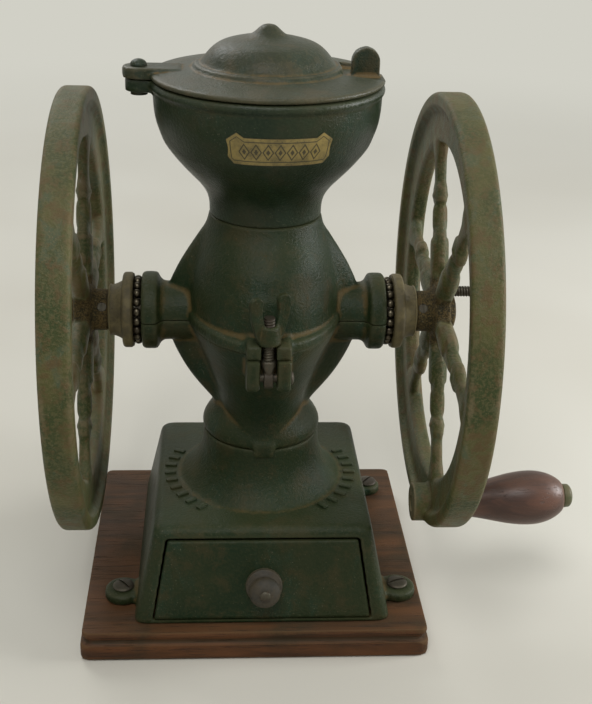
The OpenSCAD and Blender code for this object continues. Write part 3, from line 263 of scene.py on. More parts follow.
finishes = {}
addFinishes(paintedIron, {
    "painted": "paintedIron", "hopper": "hopperIron", "lid": "lidIron", "wheel": "wheelIron",
    "button": "buttonIron"}, {
    "paint": ((22, 39, 19), (19, 36, 19), (34, 44, 29), (56, 66, 34), (58, 76, 50)),
    "paintShade": ((38, 46, 24), (36, 46, 26), (48, 52, 34), (88, 86, 49), (76, 82, 54)),
    "cool": ((32, 53, 38), (34, 54, 41), (44, 60, 50), (76, 90, 72), (78, 92, 72)),
    "mottled": ((50, 54, 32), (44, 56, 36), (64, 68, 48), (104, 98, 66), (96, 92, 66)),
    "patina": ((58, 52, 30), (50, 48, 30), (76, 68, 48), (92, 70, 43), (90, 80, 52)),
    # dust with painted top light, laid on the faces that look up
    "dustAndTopLightTone": ((76, 80, 55), (84, 86, 64), (84, 83, 66), (110, 104, 78), (112, 108, 84)),
    "dirt": ((104, 84, 50), (70, 64, 40), (112, 92, 58), (58, 52, 32), (62, 56, 38)),
    "rubbed": ((74, 74, 52), (72, 74, 54), (92, 86, 66), (116, 104, 78), (112, 106, 80)),
    "rust": ((104, 74, 44), (104, 74, 44), (104, 74, 44), (94, 78, 46), (104, 74, 44)),
    "rustShade": ((60, 46, 30), (60, 46, 30), (60, 46, 30), (42, 36, 22), (60, 46, 30)),
    "pale": ((128, 124, 104),)}, {
    "patchScale": (22.0, 18.0, 24.0, 34.0, 60.0), "stainScale": (90.0, 72.0, 90.0, 170.0, 200.0),
    "patinaFrom": (0.48, 0.5, 0.46, 0.46, 0.45), "patinaAmount": (0.55, 0.5, 0.6, 0.65, 0.6),
    "dustAndTopLightAmount": (0.3, 0.3, 0.25, 0.2, 0.2), "grimeAmount": (0.55, 0.35, 0.7, 0.55, 0.5),
    "wearAmount": (0.25, 0.15, 0.4, 0.65, 0.5), "mottle": (0.35, 0.35, 0.35, 0.5, 0.3),
    "gloss": (0.42, 0.34, 0.38, 0.5, 0.42), "shine": (0.17, 0.26, 0.24, 0.22, 0.3),
    "relief": (0.0008, 0.0007, 0.0006, 0.0011, 0.0003), "paleAmount": (0.35,),
    "speckFrom": (0.72,), "speckAmount": (0.5,)})
addFinishes(rustyIron, {"rusty": "rustyIron", "worn": "wornKnobIron", "burr": "burrIron"}, {
    "rust": ((100, 90, 57), (60, 52, 37), (96, 90, 80)),
    "crust": ((70, 62, 38), (42, 40, 31), (74, 70, 62)),
    "rubbed": ((134, 123, 88), (98, 90, 68), (140, 134, 122)),
    "dirt": ((38, 32, 20), (36, 31, 20), (50, 40, 30))}, {
    "metal": (0.25, 0.1, 0.5), "relief": (0.0005, 0.0003, 0.0003)})
addFinishes(agedSteel, {
    "steel": "brightSteel", "ball": "ballSteel", "screw": "screwSteel", "tin": "drawerTin"}, {
    "steel": ((150, 144, 130), (92, 86, 72), (74, 70, 58), (120, 114, 98)),
    "tarnish": ((100, 88, 70), (52, 44, 32), (52, 44, 34), (88, 78, 60)),
    "spot": ((70, 54, 38), (34, 28, 20), (86, 60, 40), (80, 58, 40))}, {
    "brush": ((8.0, 1.0, 1.0), (1.0, 1.0, 1.0), (1.0, 1.0, 1.0), (1.0, 6.0, 6.0)),
    "metal": (0.9, 0.9, 0.6, 0.6), "gloss": (0.38, 0.3, 0.5, 0.5),
    "relief": (0.00006, 0.00004, 0.00012, 0.00008)})
addFinishes(agedWood, {"board": "boardWood", "grip": "gripWood"}, {
    "light": ((96, 61, 36), (100, 68, 54)), "dark": ((63, 42, 27), (72, 48, 39)),
    "pore": ((36, 25, 16), (42, 28, 22)), "stain": ((46, 40, 26), (48, 33, 25)),
    # dust with painted top light, laid on the faces that look up
    "dustAndTopLightTone": ((84, 74, 54), (108, 90, 74)), "bare": ((104, 82, 56), (118, 92, 70))}, {
    "grain": ((0.12, 1.0, 1.0), (0.15, 1.0, 1.0)), "ringScale": (70.0, 120.0),
    "fibre": ((0.04, 1.0, 1.0), (0.05, 1.0, 1.0)), "fibreScale": (900.0, 1200.0),
    "poreAmount": (0.5, 0.45), "stainAmount": (0.65, 0.45), "dustAndTopLightAmount": (0.25, 0.12),
    "wearFrom": (0.4, 0.5), "wearAmount": (0.45, 0.4), "gloss": (0.6, 0.42),
    "relief": (0.00035, 0.00015), "coat": (0.0, 0.15), "shine": (0.2, 0.4)})
addFinishes(giltLabel, {"label": "giltLabel"}, {
    "gilt": ((142, 124, 68),), "giltShade": ((112, 98, 54),), "ink": ((40, 36, 20),),
    "under": ((66, 62, 38),)}, {"relief": (0.00008,), "coat": (0.1,)})
print("finishes ready:", len(finishes))


# pieces are made in millimetres and brought to metres by keep()
def at(x=0.0, y=0.0, z=0.0):
    return Matrix.Translation((x, y, z))


def spun(degrees, axis):
    return Matrix.Rotation(math.radians(degrees), 4, axis)


def makeObject(name, points, faces):
    mesh = bpy.data.meshes.new(name)
    mesh.from_pydata([tuple(float(c) for c in p) for p in points], [], faces)
    piece = bpy.data.objects.new(name, mesh)
    bpy.context.scene.collection.objects.link(piece)
    return piece


def mended(piece, closeTo=1e-4):
    work = bmesh.new()
    work.from_mesh(piece.data)
    bmesh.ops.remove_doubles(work, verts=work.verts, dist=closeTo)
    bmesh.ops.dissolve_degenerate(work, edges=work.edges, dist=closeTo)
    bmesh.ops.recalc_face_normals(work, faces=work.faces)
    work.to_mesh(piece.data)
    work.free()
    return piece


def moved(piece, matrix):
    piece.data.transform(matrix)
    if matrix.determinant() < 0:
        piece.data.flip_normals()
    return piece


# smooth curve through points, as a list; a point given twice keeps its corner
def through(points, steps):
    p = [np.array(q, float) for q in points]
    p = [2 * p[0] - p[1]] + p + [2 * p[-1] - p[-2]]
    curve = []
    for a, b, c, d in zip(p, p[1:], p[2:], p[3:]):
        if np.allclose(b, c):
            continue
        for i in range(steps):
            t = i / steps
            curve.append(0.5 * (2 * b + (c - a) * t + (2 * a - 5 * b + 4 * c - d) * t ** 2
                                + (3 * b - 3 * c + d - a) * t ** 3))
    return [tuple(q) for q in curve] + [tuple(p[-2])]


# points on a circle or an oval, with both ends
def arc(x, y, radius, start, end, steps=6, tall=1.0):
    turns = [math.radians(start + (end - start) * i / steps) for i in range(steps + 1)]
    return [(x + radius * math.cos(a), y + radius * tall * math.sin(a)) for a in turns]


# evenly spaced angles of a full turn
def roundTurns(count):
    return [2 * math.pi * i / count for i in range(count)]


# a point on a circle that is pressed towards a square
def pressed(turn, power):
    c, s = math.cos(turn), math.sin(turn)
    return math.copysign(abs(c) ** power, c), math.copysign(abs(s) ** power, s)


# rings of points joined side by side; closed ends unless open
def loft(name, rings, capped=True, looped=False):
    count = len(rings[0])
    points = [p for ring in rings for p in ring]
    faces = []
    for k in range(len(rings) if looped else len(rings) - 1):
        low, high = k * count, (k + 1) % len(rings) * count
        for i in range(count):
            j = (i + 1) % count
            faces.append((low + i, low + j, high + j, high + i))
    if capped and not looped:
        faces.append(tuple(reversed(range(count))))
        faces.append(tuple(range((len(rings) - 1) * count, len(rings) * count)))
    return mended(makeObject(name, points, faces))


# a profile of (radius, height) turned round the Z axis; hollow when its ends meet
def turned(name, profile, segments=96):
    flat = [(max(r, 0.0), z) for r, z in profile]
    hollow = flat[0][0] > 1e-6 or flat[-1][0] > 1e-6
    rings = [[(r * math.cos(a), r * math.sin(a), z) for a in roundTurns(segments)] for r, z in flat]
    return loft(name, rings, capped=False, looped=hollow)


def block(name, low, high):
    corners = [(x, y, z) for z in (low[2], high[2]) for x, y in
               ((low[0], low[1]), (high[0], low[1]), (high[0], high[1]), (low[0], high[1]))]
    faces = [(3, 2, 1, 0), (4, 5, 6, 7), (0, 1, 5, 4), (1, 2, 6, 5), (2, 3, 7, 6), (3, 0, 4, 7)]
    return makeObject(name, corners, faces)


def rod(name, radius, low, high, segments=48):
    return turned(name, [(0, low), (radius, low), (radius, high), (0, high)], segments)


def joined(name, parts):
    work = bmesh.new()
    for part in parts:
        work.from_mesh(part.data)
    mesh = bpy.data.meshes.new(name)
    work.to_mesh(mesh)
    work.free()
    for part in parts:
        bpy.data.objects.remove(part)
    piece = bpy.data.objects.new(name, mesh)
    bpy.context.scene.collection.objects.link(piece)
    return piece


# puts the result of an object's modifiers into its mesh
def applied(piece):
    graph = bpy.context.evaluated_depsgraph_get()
    mesh = bpy.data.meshes.new_from_object(piece.evaluated_get(graph))
    piece.modifiers.clear()
    piece.data = mesh
    return piece


def modified(piece, kind, **settings):
    modifier = piece.modifiers.new(kind.title(), kind)
    for key, value in settings.items():
        setattr(modifier, key, value)
    return applied(piece)


# one even skin over everything in the piece, its edges softened as sand casting leaves them,
# with a share of its faces kept
def recast(piece, grain, soften, share=1.0):
    modified(piece, "REMESH", mode="VOXEL", voxel_size=grain, use_smooth_shade=True)
    if soften:
        modified(piece, "SMOOTH", factor=0.5, iterations=soften)
    if share < 1:
        modified(piece, "DECIMATE", ratio=share)
    return piece


def combined(piece, tools, operation):
    for tool in tools:
        modified(piece, "BOOLEAN", operation=operation, object=tool, solver="MANIFOLD")
        bpy.data.objects.remove(tool)
    return piece


def cutBy(piece, tools):
    return combined(piece, tools, "DIFFERENCE")


def grownBy(piece, parts):
    return combined(piece, parts, "UNION")


# solids melted together, hollows cut, and a second skin over the result
def casting(name, solids, hollows, grain, soften, finish, share):
    piece = recast(joined(name, solids), grain, soften)
    return recast(cutBy(piece, hollows), grain, finish, share)


def onShaft(distance=0.0, side=1):
    out = at(distance, 0, level["shaft"]) @ spun(90, "Y")
    return Matrix.Diagonal((side, 1, 1, 1)) @ out


def atFront(x=0.0, rise=0.0):
    tilt = Matrix.Rotation(math.pi / 2 - level["slope"], 4, "X")
    return at(x, -base["footY"], level["boardTop"]) @ tilt @ at(0, rise, 0)


def stored(piece, name, values):
    store = piece.data.attributes.new(name, "FLOAT", "POINT")
    store.data.foreach_set("value", np.clip(values, 0, 1).astype(np.float32))


def readOut(source, key, width, kind=float):
    values = np.empty(len(source) * width, kind)
    source.foreach_get(key, values)
    return values.reshape(-1, width)


# stores how far each point stands out from, or lies inside, the smoothed surface round it,
# and how far it faces up
def markSurface(piece, reach, depth):
    mesh = piece.data
    count = len(mesh.vertices)
    place = readOut(mesh.vertices, "co", 3)
    out = readOut(mesh.vertex_normals, "vector", 3)
    a, b = readOut(mesh.edges, "vertices", 2, np.int32).T
    length = np.maximum(np.linalg.norm(place[a] - place[b], axis=1), 1e-6)
    weight = 1 / length
    total = np.bincount(a, weight, count) + np.bincount(b, weight, count) + 1e-9
    rounds = int(min(max((reach / np.median(length)) ** 2, 3), 60))
    soft = place.copy()
    for _ in range(rounds):
        for axis in range(3):
            line = soft[:, axis]
            pull = np.bincount(a, weight * line[b], count)
            pull = pull + np.bincount(b, weight * line[a], count)
            soft[:, axis] = 0.5 * line + 0.5 * pull / total
    proud = np.einsum("ij,ij->i", place - soft, out) / depth
    for name, values in (("wear", proud), ("grime", -proud), ("top", out[:, 2])):
        stored(piece, name, values)


# finishes a piece: edge marks, smooth shading, metres, finish, body and the nodes it stands for
def keep(piece, body, finish, nodes, reach, depth, corner=35.0):
    markSurface(piece, reach, depth)
    piece.data.shade_smooth()
    piece.data.set_sharp_from_angle(angle=math.radians(corner))
    moved(piece, toMetres)
    piece.data.materials.clear()
    piece.data.materials.append(finishes[finish])
    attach(piece, body)
    if nodes:
        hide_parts(*nodes)
    print("  ", piece.name, len(piece.data.polygons), "faces")


# Geometry Nodes: copies of a pattern on a ring
def ringTree():
    tree = bpy.data.node_groups.new("copiesOnRing", "GeometryNodeTree")
    tree.interface.new_socket("Geometry", in_out="OUTPUT", socket_type="NodeSocketGeometry")
    kinds = {"Pattern": "Object", "Count": "Int", "Radius": "Float", "First Turn": "Float",
             "Sweep": "Float", "Material": "Material"}
    inputs = {}
    for name, kind in kinds.items():
        made = tree.interface.new_socket(name, in_out="INPUT", socket_type="NodeSocket" + kind)
        inputs[name] = made.identifier
    sheet = Sheet(tree)
    given = tree.nodes.new("NodeGroupInput")
    wire = {name: Wire(sheet, given.outputs[name]) for name in inputs}
    points = sheet.add("GeometryNodePoints", {}, {"Count": wire["Count"], "Radius": 1.0})
    index = sheet.add("GeometryNodeInputIndex")
    step = sheet.sum("DIVIDE", wire["Sweep"], wire["Count"])
    turn = wire["First Turn"] + index * step
    x = wire["Radius"] * sheet.add("ShaderNodeMath", {"operation": "COSINE"}, {0: turn})
    y = wire["Radius"] * sheet.add("ShaderNodeMath", {"operation": "SINE"}, {0: turn})
    where = sheet.add("ShaderNodeCombineXYZ", {}, {0: x, 1: y})
    points = sheet.add("GeometryNodeSetPosition", {}, {"Geometry": points, "Position": where})
    facing = sheet.add("ShaderNodeCombineXYZ", {}, {2: turn})
    pattern = sheet.add("GeometryNodeObjectInfo", {}, {"Object": wire["Pattern"]}, out="Geometry")
    copies = sheet.add("GeometryNodeInstanceOnPoints", {},
                       {"Points": points, "Instance": pattern, "Rotation": facing})
    copies = sheet.add("GeometryNodeRealizeInstances", {}, {"Geometry": copies})
    copies = sheet.add("GeometryNodeSetMaterial", {}, {"Geometry": copies, "Material": wire["Material"]})
    sheet.add("NodeGroupOutput", {}, {"Geometry": copies})
    return tree, inputs


ringNodes, ringInputs = ringTree()


# copies of a pattern set out at a radius and turned with it, as a plain mesh
def onRing(name, pattern, count, radius, first, sweep, finish):
    holder = makeObject(name, [(0, 0, 0)], [])
    modifier = holder.modifiers.new("Ring", "NODES")
    modifier.node_group = ringNodes
    values = {"Pattern": pattern, "Count": count, "Radius": radius, "First Turn": math.radians(first),
              "Sweep": math.radians(sweep), "Material": finishes[finish]}
    for key, value in values.items():
        modifier[ringInputs[key]] = value
    holder.update_tag()
    applied(holder)
    bpy.data.objects.remove(pattern)
    return holder


board = {"width": 177.7, "depth": 163.0, "moulding": 7.0, "inset": 6.0, "step": 0.6, "chamfer": 0.8,
         "corner": 4.0, "shiftX": -3.4, "shiftY": 3.2, "grain": 1.15}
# the base's screw ears, with the place and radius of each, and the screws in them
ears = {"places": ((-72.0, -45.5, 9.75), (72.0, -45.5, 9.75), (68.0, 58.0, 7.5)), "height": 5.7,
        "round": 1.5, "hole": 2.4, "shank": 2.3, "shankLength": 14, "head": 5.5, "headHeight": 2.4,
        "slotHalf": 0.65, "slotFloor": 1.25, "slotTurns": (130, 22, 50)}


# a rectangle with round corners; the same number of points whatever its size
def roundedLoop(halfX, halfY, corner, side=30, bend=6):
    loop = []
    ends = ((1, -1, -90), (1, 1, 0), (-1, 1, 90), (-1, -1, 180))
    for k, (sx, sy, start) in enumerate(ends):
        curve = arc(sx * (halfX - corner), sy * (halfY - corner), corner, start, start + 90, bend)
        nx, ny, nextStart = ends[(k + 1) % 4]
        target = arc(nx * (halfX - corner), ny * (halfY - corner), corner, nextStart, nextStart, 1)[0]
        loop += curve
        for i in range(1, side):
            t = i / side
            loop.append(tuple(np.array(curve[-1]) * (1 - t) + np.array(target) * t))
    return loop


def ringAt(loop, z, shiftX=0.0, shiftY=0.0):
    return [(x + shiftX, y + shiftY, z) for x, y in loop]


def makeBoard():
    moulding, step, chamfer = board["moulding"], board["step"], board["chamfer"]
    low = level["boardTop"] - moulding
    steps = [(0, chamfer), (chamfer, 0), (low, 0)]
    steps += [(low + moulding * (1 - up), step + (board["inset"] - step) * (1 - along))
              for along, up in arc(0, 0, 1, 90, 0)]
    rings = []
    for z, inset in steps:
        loop = roundedLoop(board["width"] / 2 - inset, board["depth"] / 2 - inset, board["corner"])
        rings.append(ringAt(loop, z, board["shiftX"], board["shiftY"]))
    holes = [moved(rod("hole", ears["hole"], 6, 30, 24), at(x, y)) for x, y, _ in ears["places"]]
    piece = casting("boardWood", [loft("boardWood", rings)], holes, board["grain"], 2, 0, 0.6)
    keep(piece, "mill_frame", "board", ["wood_board"], 3.0, 0.4)


makeBoard()

# the iron base: a sloping box with a rounded top edge, the bell, the drawer's opening and its runners
base = {"footX": 65.5, "footY": 70.5, "topX": 55.0, "topY": 57.5, "corner": 5.0, "edge": 3.6,
        "wall": 3.5, "bellFoot": 43.0, "bellTop": 30.5, "bellPower": 2.6, "bellSkirt": 3, "bellSunk": 1.7,
        "spigot": 22.3, "spigotEnds": (60, 100), "sill": 1.7, "openingFoot": 56.0, "openingTop": 49.0,
        "openingHeight": 41.7, "openingDepth": (37, 75), "runnerEnds": (-62, 66),
        "runners": ((40, 50.6, 18.0), (48.4, 50.6, 22.0)), "grain": 1.0}
# low plain bars on the base's top plate, in two arcs beside the bell
bars = {"circle": 48.6, "length": 6.4, "width": 3.0, "rise": 1.1, "count": 9, "sweep": 84, "corner": 0.6}


def baseRing(z, inset=0.0):
    t = (z - level["boardTop"]) / (level["baseTop"] - level["boardTop"])
    halfX = base["footX"] + (base["topX"] - base["footX"]) * t - inset
    halfY = base["footY"] + (base["topY"] - base["footY"]) * t - inset
    return ringAt(roundedLoop(halfX, halfY, base["corner"]), z)


def openingOutline(inset):
    foot, top = base["openingFoot"] - inset, base["openingTop"] - inset
    high = base["openingHeight"] - inset
    return [(-foot, inset), (foot, inset), (top, high), (-top, high)]


def makeBase():
    low, high, edge, wall = level["boardTop"], level["baseTop"], base["edge"], base["wall"]
    rings = [baseRing(low + (high - edge - low) * t) for t in (0, 0.5, 1)]
    for along, up in arc(0, 0, 1, 0, 90)[1:]:
        rings.append(baseRing(high - edge + edge * up, edge * (1 - along)))
    foot, neck, bellTop, sunk = base["bellFoot"], base["bellTop"], level["bellTop"], high - base["bellSunk"]
    bell = [(0, sunk), (foot + base["bellSkirt"], sunk)]
    for t in (i / 20 for i in range(21)):
        bell.append((neck + (foot - neck) * (1 - t) ** base["bellPower"], high + (bellTop - high) * t))
    solids = [loft("box", rings), turned("bell", bell + [(0, bellTop)], 128)]
    outline = [(x, y + low + base["sill"]) for x, y in openingOutline(0)]
    opening = loft("opening", [ringAt(outline, z) for z in base["openingDepth"]])
    hollows = [loft("inner", [baseRing(low - 2, wall), baseRing(high - wall, wall)]),
               moved(opening, spun(90, "X")), rod("spigot", base["spigot"], *base["spigotEnds"], 96)]
    earTop, bend = low + ears["height"], ears["round"]
    for x, y, radius in ears["places"]:
        edgeLine = arc(radius - bend, earTop - bend, bend, 0, 90, 4)
        solid = turned("ear", [(0, low), (radius, low)] + edgeLine + [(0, earTop)], 48)
        solids.append(moved(solid, at(x, y)))
        hollows.append(moved(rod("hole", ears["hole"], 10, 30, 24), at(x, y)))
        hollows.append(moved(rod("seat", ears["head"] + 0.7, earTop, earTop + 5), at(x, y)))
    front, back = base["runnerEnds"]
    runners = []
    for side in (-1, 1):
        for inner, outer, top in base["runners"]:
            ends = sorted((side * inner, side * outer))
            runners.append(block("runner", (ends[0], front, low), (ends[1], back, top)))
    shell = cutBy(recast(joined("baseShell", solids), base["grain"], 5), hollows)
    shell = recast(joined("baseShell", [shell] + runners), base["grain"], 1, 0.5)
    keep(shell, "mill_frame", "painted", ["base_casting"], 3.0, 0.35)


def makeBars():
    half, wide, rise = bars["length"] / 2, bars["width"] / 2, bars["rise"]
    parts = []
    for side, first in ((1, -50), (-1, 230)):
        rings = []
        for z, inset in ((-0.6, 0), (rise * 0.55, 0.05), (rise * 0.9, 0.3), (rise, 0.7)):
            loop = roundedLoop(half - inset, wide - inset * 0.8, bars["corner"] - 0.5 * inset, 4, 3)
            rings.append(ringAt(loop, z))
        parts.append(onRing("bars", loft("bar", rings), bars["count"], bars["circle"], first,
                            side * bars["sweep"], "painted"))
    piece = mended(moved(joined("plateBars", parts), at(z=level["baseTop"])))
    keep(piece, "mill_frame", "painted", (), 1.0, 0.25)


# a screw with a domed head that stands on zero
def domedScrew(name, head, low, high, shank, length, steps):
    profile = [(0, 0)] + arc(0, low, head, 0, 90, steps, (high - low) / head)
    return joined(name, [turned("head", profile, 40), rod("shank", shank, -length, 0.1, 24)])


def makeScrews():
    head, high, half, past = ears["head"], ears["headHeight"], ears["slotHalf"], 9
    screws = []
    for (x, y, _), turn in zip(ears["places"], ears["slotTurns"]):
        screw = domedScrew("screw", head, 0.3 * high, high, ears["shank"], ears["shankLength"], 10)
        cutBy(screw, [block("slot", (-past, -half, ears["slotFloor"]), (past, half, past))])
        screws.append(moved(screw, at(x, y, level["boardTop"] + ears["height"]) @ spun(turn, "Z")))
    nodes = ["base_screw_" + place for place in ("front_left", "front_right", "rear_right")]
    keep(joined("baseScrews", screws), "mill_frame", "screw", nodes, 1.0, 0.3)


makeBase()
makeBars()
makeScrews()
print("base ready")

# the front's depths, each with the share of its outline there, then the spool knob and its screw
drawer = {"gap": 0.75, "depths": ((-4.0, 1.0), (-0.5, 1.0), (0.0, 0.99)), "middle": 21, "grain": 0.75,
          "knobX": 0.5, "knobRise": 20.4, "flange": 9.3, "flangeEdge": 1.6, "knob": 8.0,
          "knobLength": 16.5, "knobBore": 1.95, "waist": 0.72, "screwHead": 2.8, "screwHeadHeight": 1.6,
          "screwShank": 1.85, "screwHole": 2.1}


def makeDrawer():
    along = 1 / math.cos(level["slope"])
    outline = [(x, (y + base["sill"]) * along) for x, y in openingOutline(drawer["gap"])]
    centre = np.array([0, drawer["middle"] * along])
    rings = []
    for z, share in drawer["depths"]:
        rings.append(ringAt([tuple(centre + (np.array(p) - centre) * share) for p in outline], z))
    hole = moved(rod("hole", drawer["screwHole"], -20, 20, 24), at(drawer["knobX"], drawer["knobRise"]))
    front = casting("drawerFront", [loft("plate", rings)], [hole], drawer["grain"], 2, 0, 0.5)
    keep(moved(front, atFront()), "drawer", "painted", ["drawer_front"], 2.0, 0.3)

    flange, edge, radius = drawer["flange"], drawer["flangeEdge"], drawer["knob"]
    bore, waist, length = drawer["knobBore"], drawer["waist"], drawer["knobLength"]
    waistEnd, shoulder, domeTop = length * 0.48, length * 0.48 + 1.5, length - 2
    profile = [(bore, 0.1), (flange, 0.1), (flange, edge)] + arc(flange - 1, edge, 1, 10, 80, 3)
    profile += [(radius * (waist + (1 - waist) * (2 * t - 1) ** 2), 2.8 + (waistEnd - 2.8) * t)
                for t in np.linspace(0.05, 0.95, 9)]
    profile += arc(0, shoulder, radius, -20, 71, 13, (domeTop - shoulder) / radius)
    profile.append((bore, domeTop - 0.05))
    knobPlace = atFront(drawer["knobX"], drawer["knobRise"])
    keep(moved(turned("drawerKnob", profile, 64), knobPlace), "drawer", "worn",
         ["drawer_knob"], 1.5, 0.3)

    screw = domedScrew("drawerKnobScrew", drawer["screwHead"], 0.3, drawer["screwHeadHeight"],
                       drawer["screwShank"], length + 4, 9)
    moved(screw, knobPlace @ at(z=length - 1.6))
    keep(screw, "drawer", "screw", ["drawer_knob_screw"], 0.8, 0.2)


makeDrawer()
print("drawer ready")

housing = {
    "bellySide": 38.7, "bellyFront": 55.5, "neckSide": 20.5, "neckFront": 30.0, "crown": 27.6,
    "webReach": 49.0, "webHalf": 12.0, "melt": 14, "lip": 5.5, "lipProud": 5.5, "collar": 31.0,
    "collarHeight": 17.0, "swell": 3.5, "spigot": 21.9, "chute": 15, "throat": 19, "spigotRoom": 22.3,
    "arm": 15.0, "armRoot": 26, "armBend": 3.2, "bossFace": 61.5, "boss": 19.7, "bossLength": 8.5,
    "bossRound": 1.6, "faceRound": 1.8, "ballCircle": 15.3, "ball": 2.3, "ballGap": 4.1, "grain": 0.85}
# radius and both ends along the shaft of what the burrs and the shaft turn in
burrRooms = {"chamber": (28, -27, -9, 96), "seat": (24.2, -9.1, 2.2, 96), "trough": (21, -9, 27, 96),
             "bore": (6.35, -80, 80, 48)}
# the clamp's ears and the rear hinge, seen from the shaft's middle
ear = {"cheeks": ((-10.1, -3.5), (4.5, 11.1)), "foot": 16.5, "back": -41.5, "nose": -63, "round": 5.0,
       "pinX": 0.5, "pinY": -58.5, "pinDrop": 10}
hinge = {"y": 62.5, "knuckle": 6, "tongue": 3.7, "outer": 12, "inner": 4.2, "root": 43.5, "pin": 2.2}
# share of the way up, then how far the side, the front and the web have grown from the small end
lowerShares = [
    (0, 0.04, 0, -0.5), (0.12, 0.03, 0.01, 0.08), (0.20, 0.08, 0.05, 0.24), (0.30, 0.16, 0.13, 0.42),
    (0.40, 0.26, 0.23, 0.58), (0.50, 0.38, 0.34, 0.71), (0.60, 0.50, 0.46, 0.82),
    (0.70, 0.62, 0.60, 0.91), (0.82, 0.78, 0.79, 0.97), (0.92, 0.92, 0.92, 0.99), (1, 1, 1, 1)]
upperShares = [
    (0, 0.93, 1, 1), (0.096, 0.905, 0.99, 0.97), (0.21, 0.85, 0.96, 0.92), (0.333, 0.73, 0.883, 0.80),
    (0.446, 0.61, 0.757, 0.67), (0.57, 0.48, 0.63, 0.50), (0.684, 0.36, 0.454, 0.32),
    (0.796, 0.23, 0.252, 0.10), (0.898, 0.10, 0.10, -0.3), (1, 0, 0, -0.6)]


def sectionRing(z, side, front, web):
    ring = []
    for a in roundTurns(144):
        c, s = math.cos(a), math.sin(a)
        belly = 1 / math.sqrt((c / side) ** 2 + (s / front) ** 2)
        lobe = 1 / math.sqrt((c / web) ** 2 + (s / housing["webHalf"]) ** 2)
        reach = (belly ** housing["melt"] + lobe ** housing["melt"]) ** (1 / housing["melt"])
        ring.append((reach * c, reach * s, z))
    return ring


# small holds the side, front and web at the small end
def bodyRings(shares, small, side, front, low, high):
    rings = []
    full = (side, front, housing["webReach"])
    for share, *grown in through(shares, 5):
        sizes = [a + (b - a) * part for a, b, part in zip(small, full, grown)]
        rings.append(sectionRing(low + (high - low) * share, *sizes))
    return rings


def arms():
    face, boss, arm, root = housing["bossFace"], housing["boss"], housing["arm"], housing["armRoot"]
    bend, near, far = housing["armBend"], housing["bossRound"], housing["faceRound"]
    start = face - housing["bossLength"]
    profile = [(0, root), (arm, root), (arm, start - 3.5)]
    profile += arc(arm + bend, start - 3.5, bend, 180, 110, 4)
    profile += arc(boss - near, start + near, near, -60, 0, 4)
    profile += arc(boss - far, face - far, far, 0, 90, 4) + [(0, face)]
    return [moved(turned("arm", profile, 96), onShaft(0, side)) for side in (-1, 1)]


def ballPlace(side):
    return onShaft(housing["bossFace"] + housing["ballGap"] / 2, side)


def ballGroove(side, room):
    circle = arc(housing["ballCircle"], 0, housing["ball"] + room, 0, 345, 23)
    return moved(turned("track", circle, 96), ballPlace(side))


def burrRoom():
    return [moved(rod(name, *sizes), onShaft()) for name, sizes in burrRooms.items()]


def hingePlace():
    return at(0, hinge["y"], level["shaft"]) @ spun(90, "Y")


def clampPinPlace():
    return at(ear["pinX"], ear["pinY"], level["shaft"] - ear["pinDrop"])


# holes for the pins, and the grooves that the balls run in
def pinsAndGrooves(places):
    pins = [moved(rod("pin", hinge["pin"], -40, 40, 24), place) for place in places]
    return pins + [ballGroove(side, 0.1) for side in (-1, 1)]


# an ear seen from the side: square at the housing, round at the pin
def clampEar(x0, x1, low, top):
    back, nose, radius = ear["back"], ear["nose"], ear["round"]
    outline = [(back, low), (back, top), (nose - radius * 0.2, top)]
    outline += arc(nose + radius * 0.9, low + radius, radius * 1.1, 180, 270, 8)
    return loft("ear", [[(x, y, z) for y, z in outline] for x in (x0, x1)])


def collarProfile():
    wide, high, swell = housing["collar"], housing["collarHeight"], housing["swell"]
    profile = [(0, 0.05), (wide - 1.2, 0.05), (wide - 0.3, 1.2)]
    for t in np.linspace(0, 1, 14):
        profile.append((wide - (wide - housing["neckSide"] - 1) * t ** 1.6, swell + (high - swell) * t))
    return [(r, z + level["bellTop"]) for r, z in profile + [(0, high)]]


# a ring of square section between two radii
def hoop(name, inner, outer, low, high):
    return turned(name, [(inner, low), (outer, low), (outer, high), (inner, high)], 96)


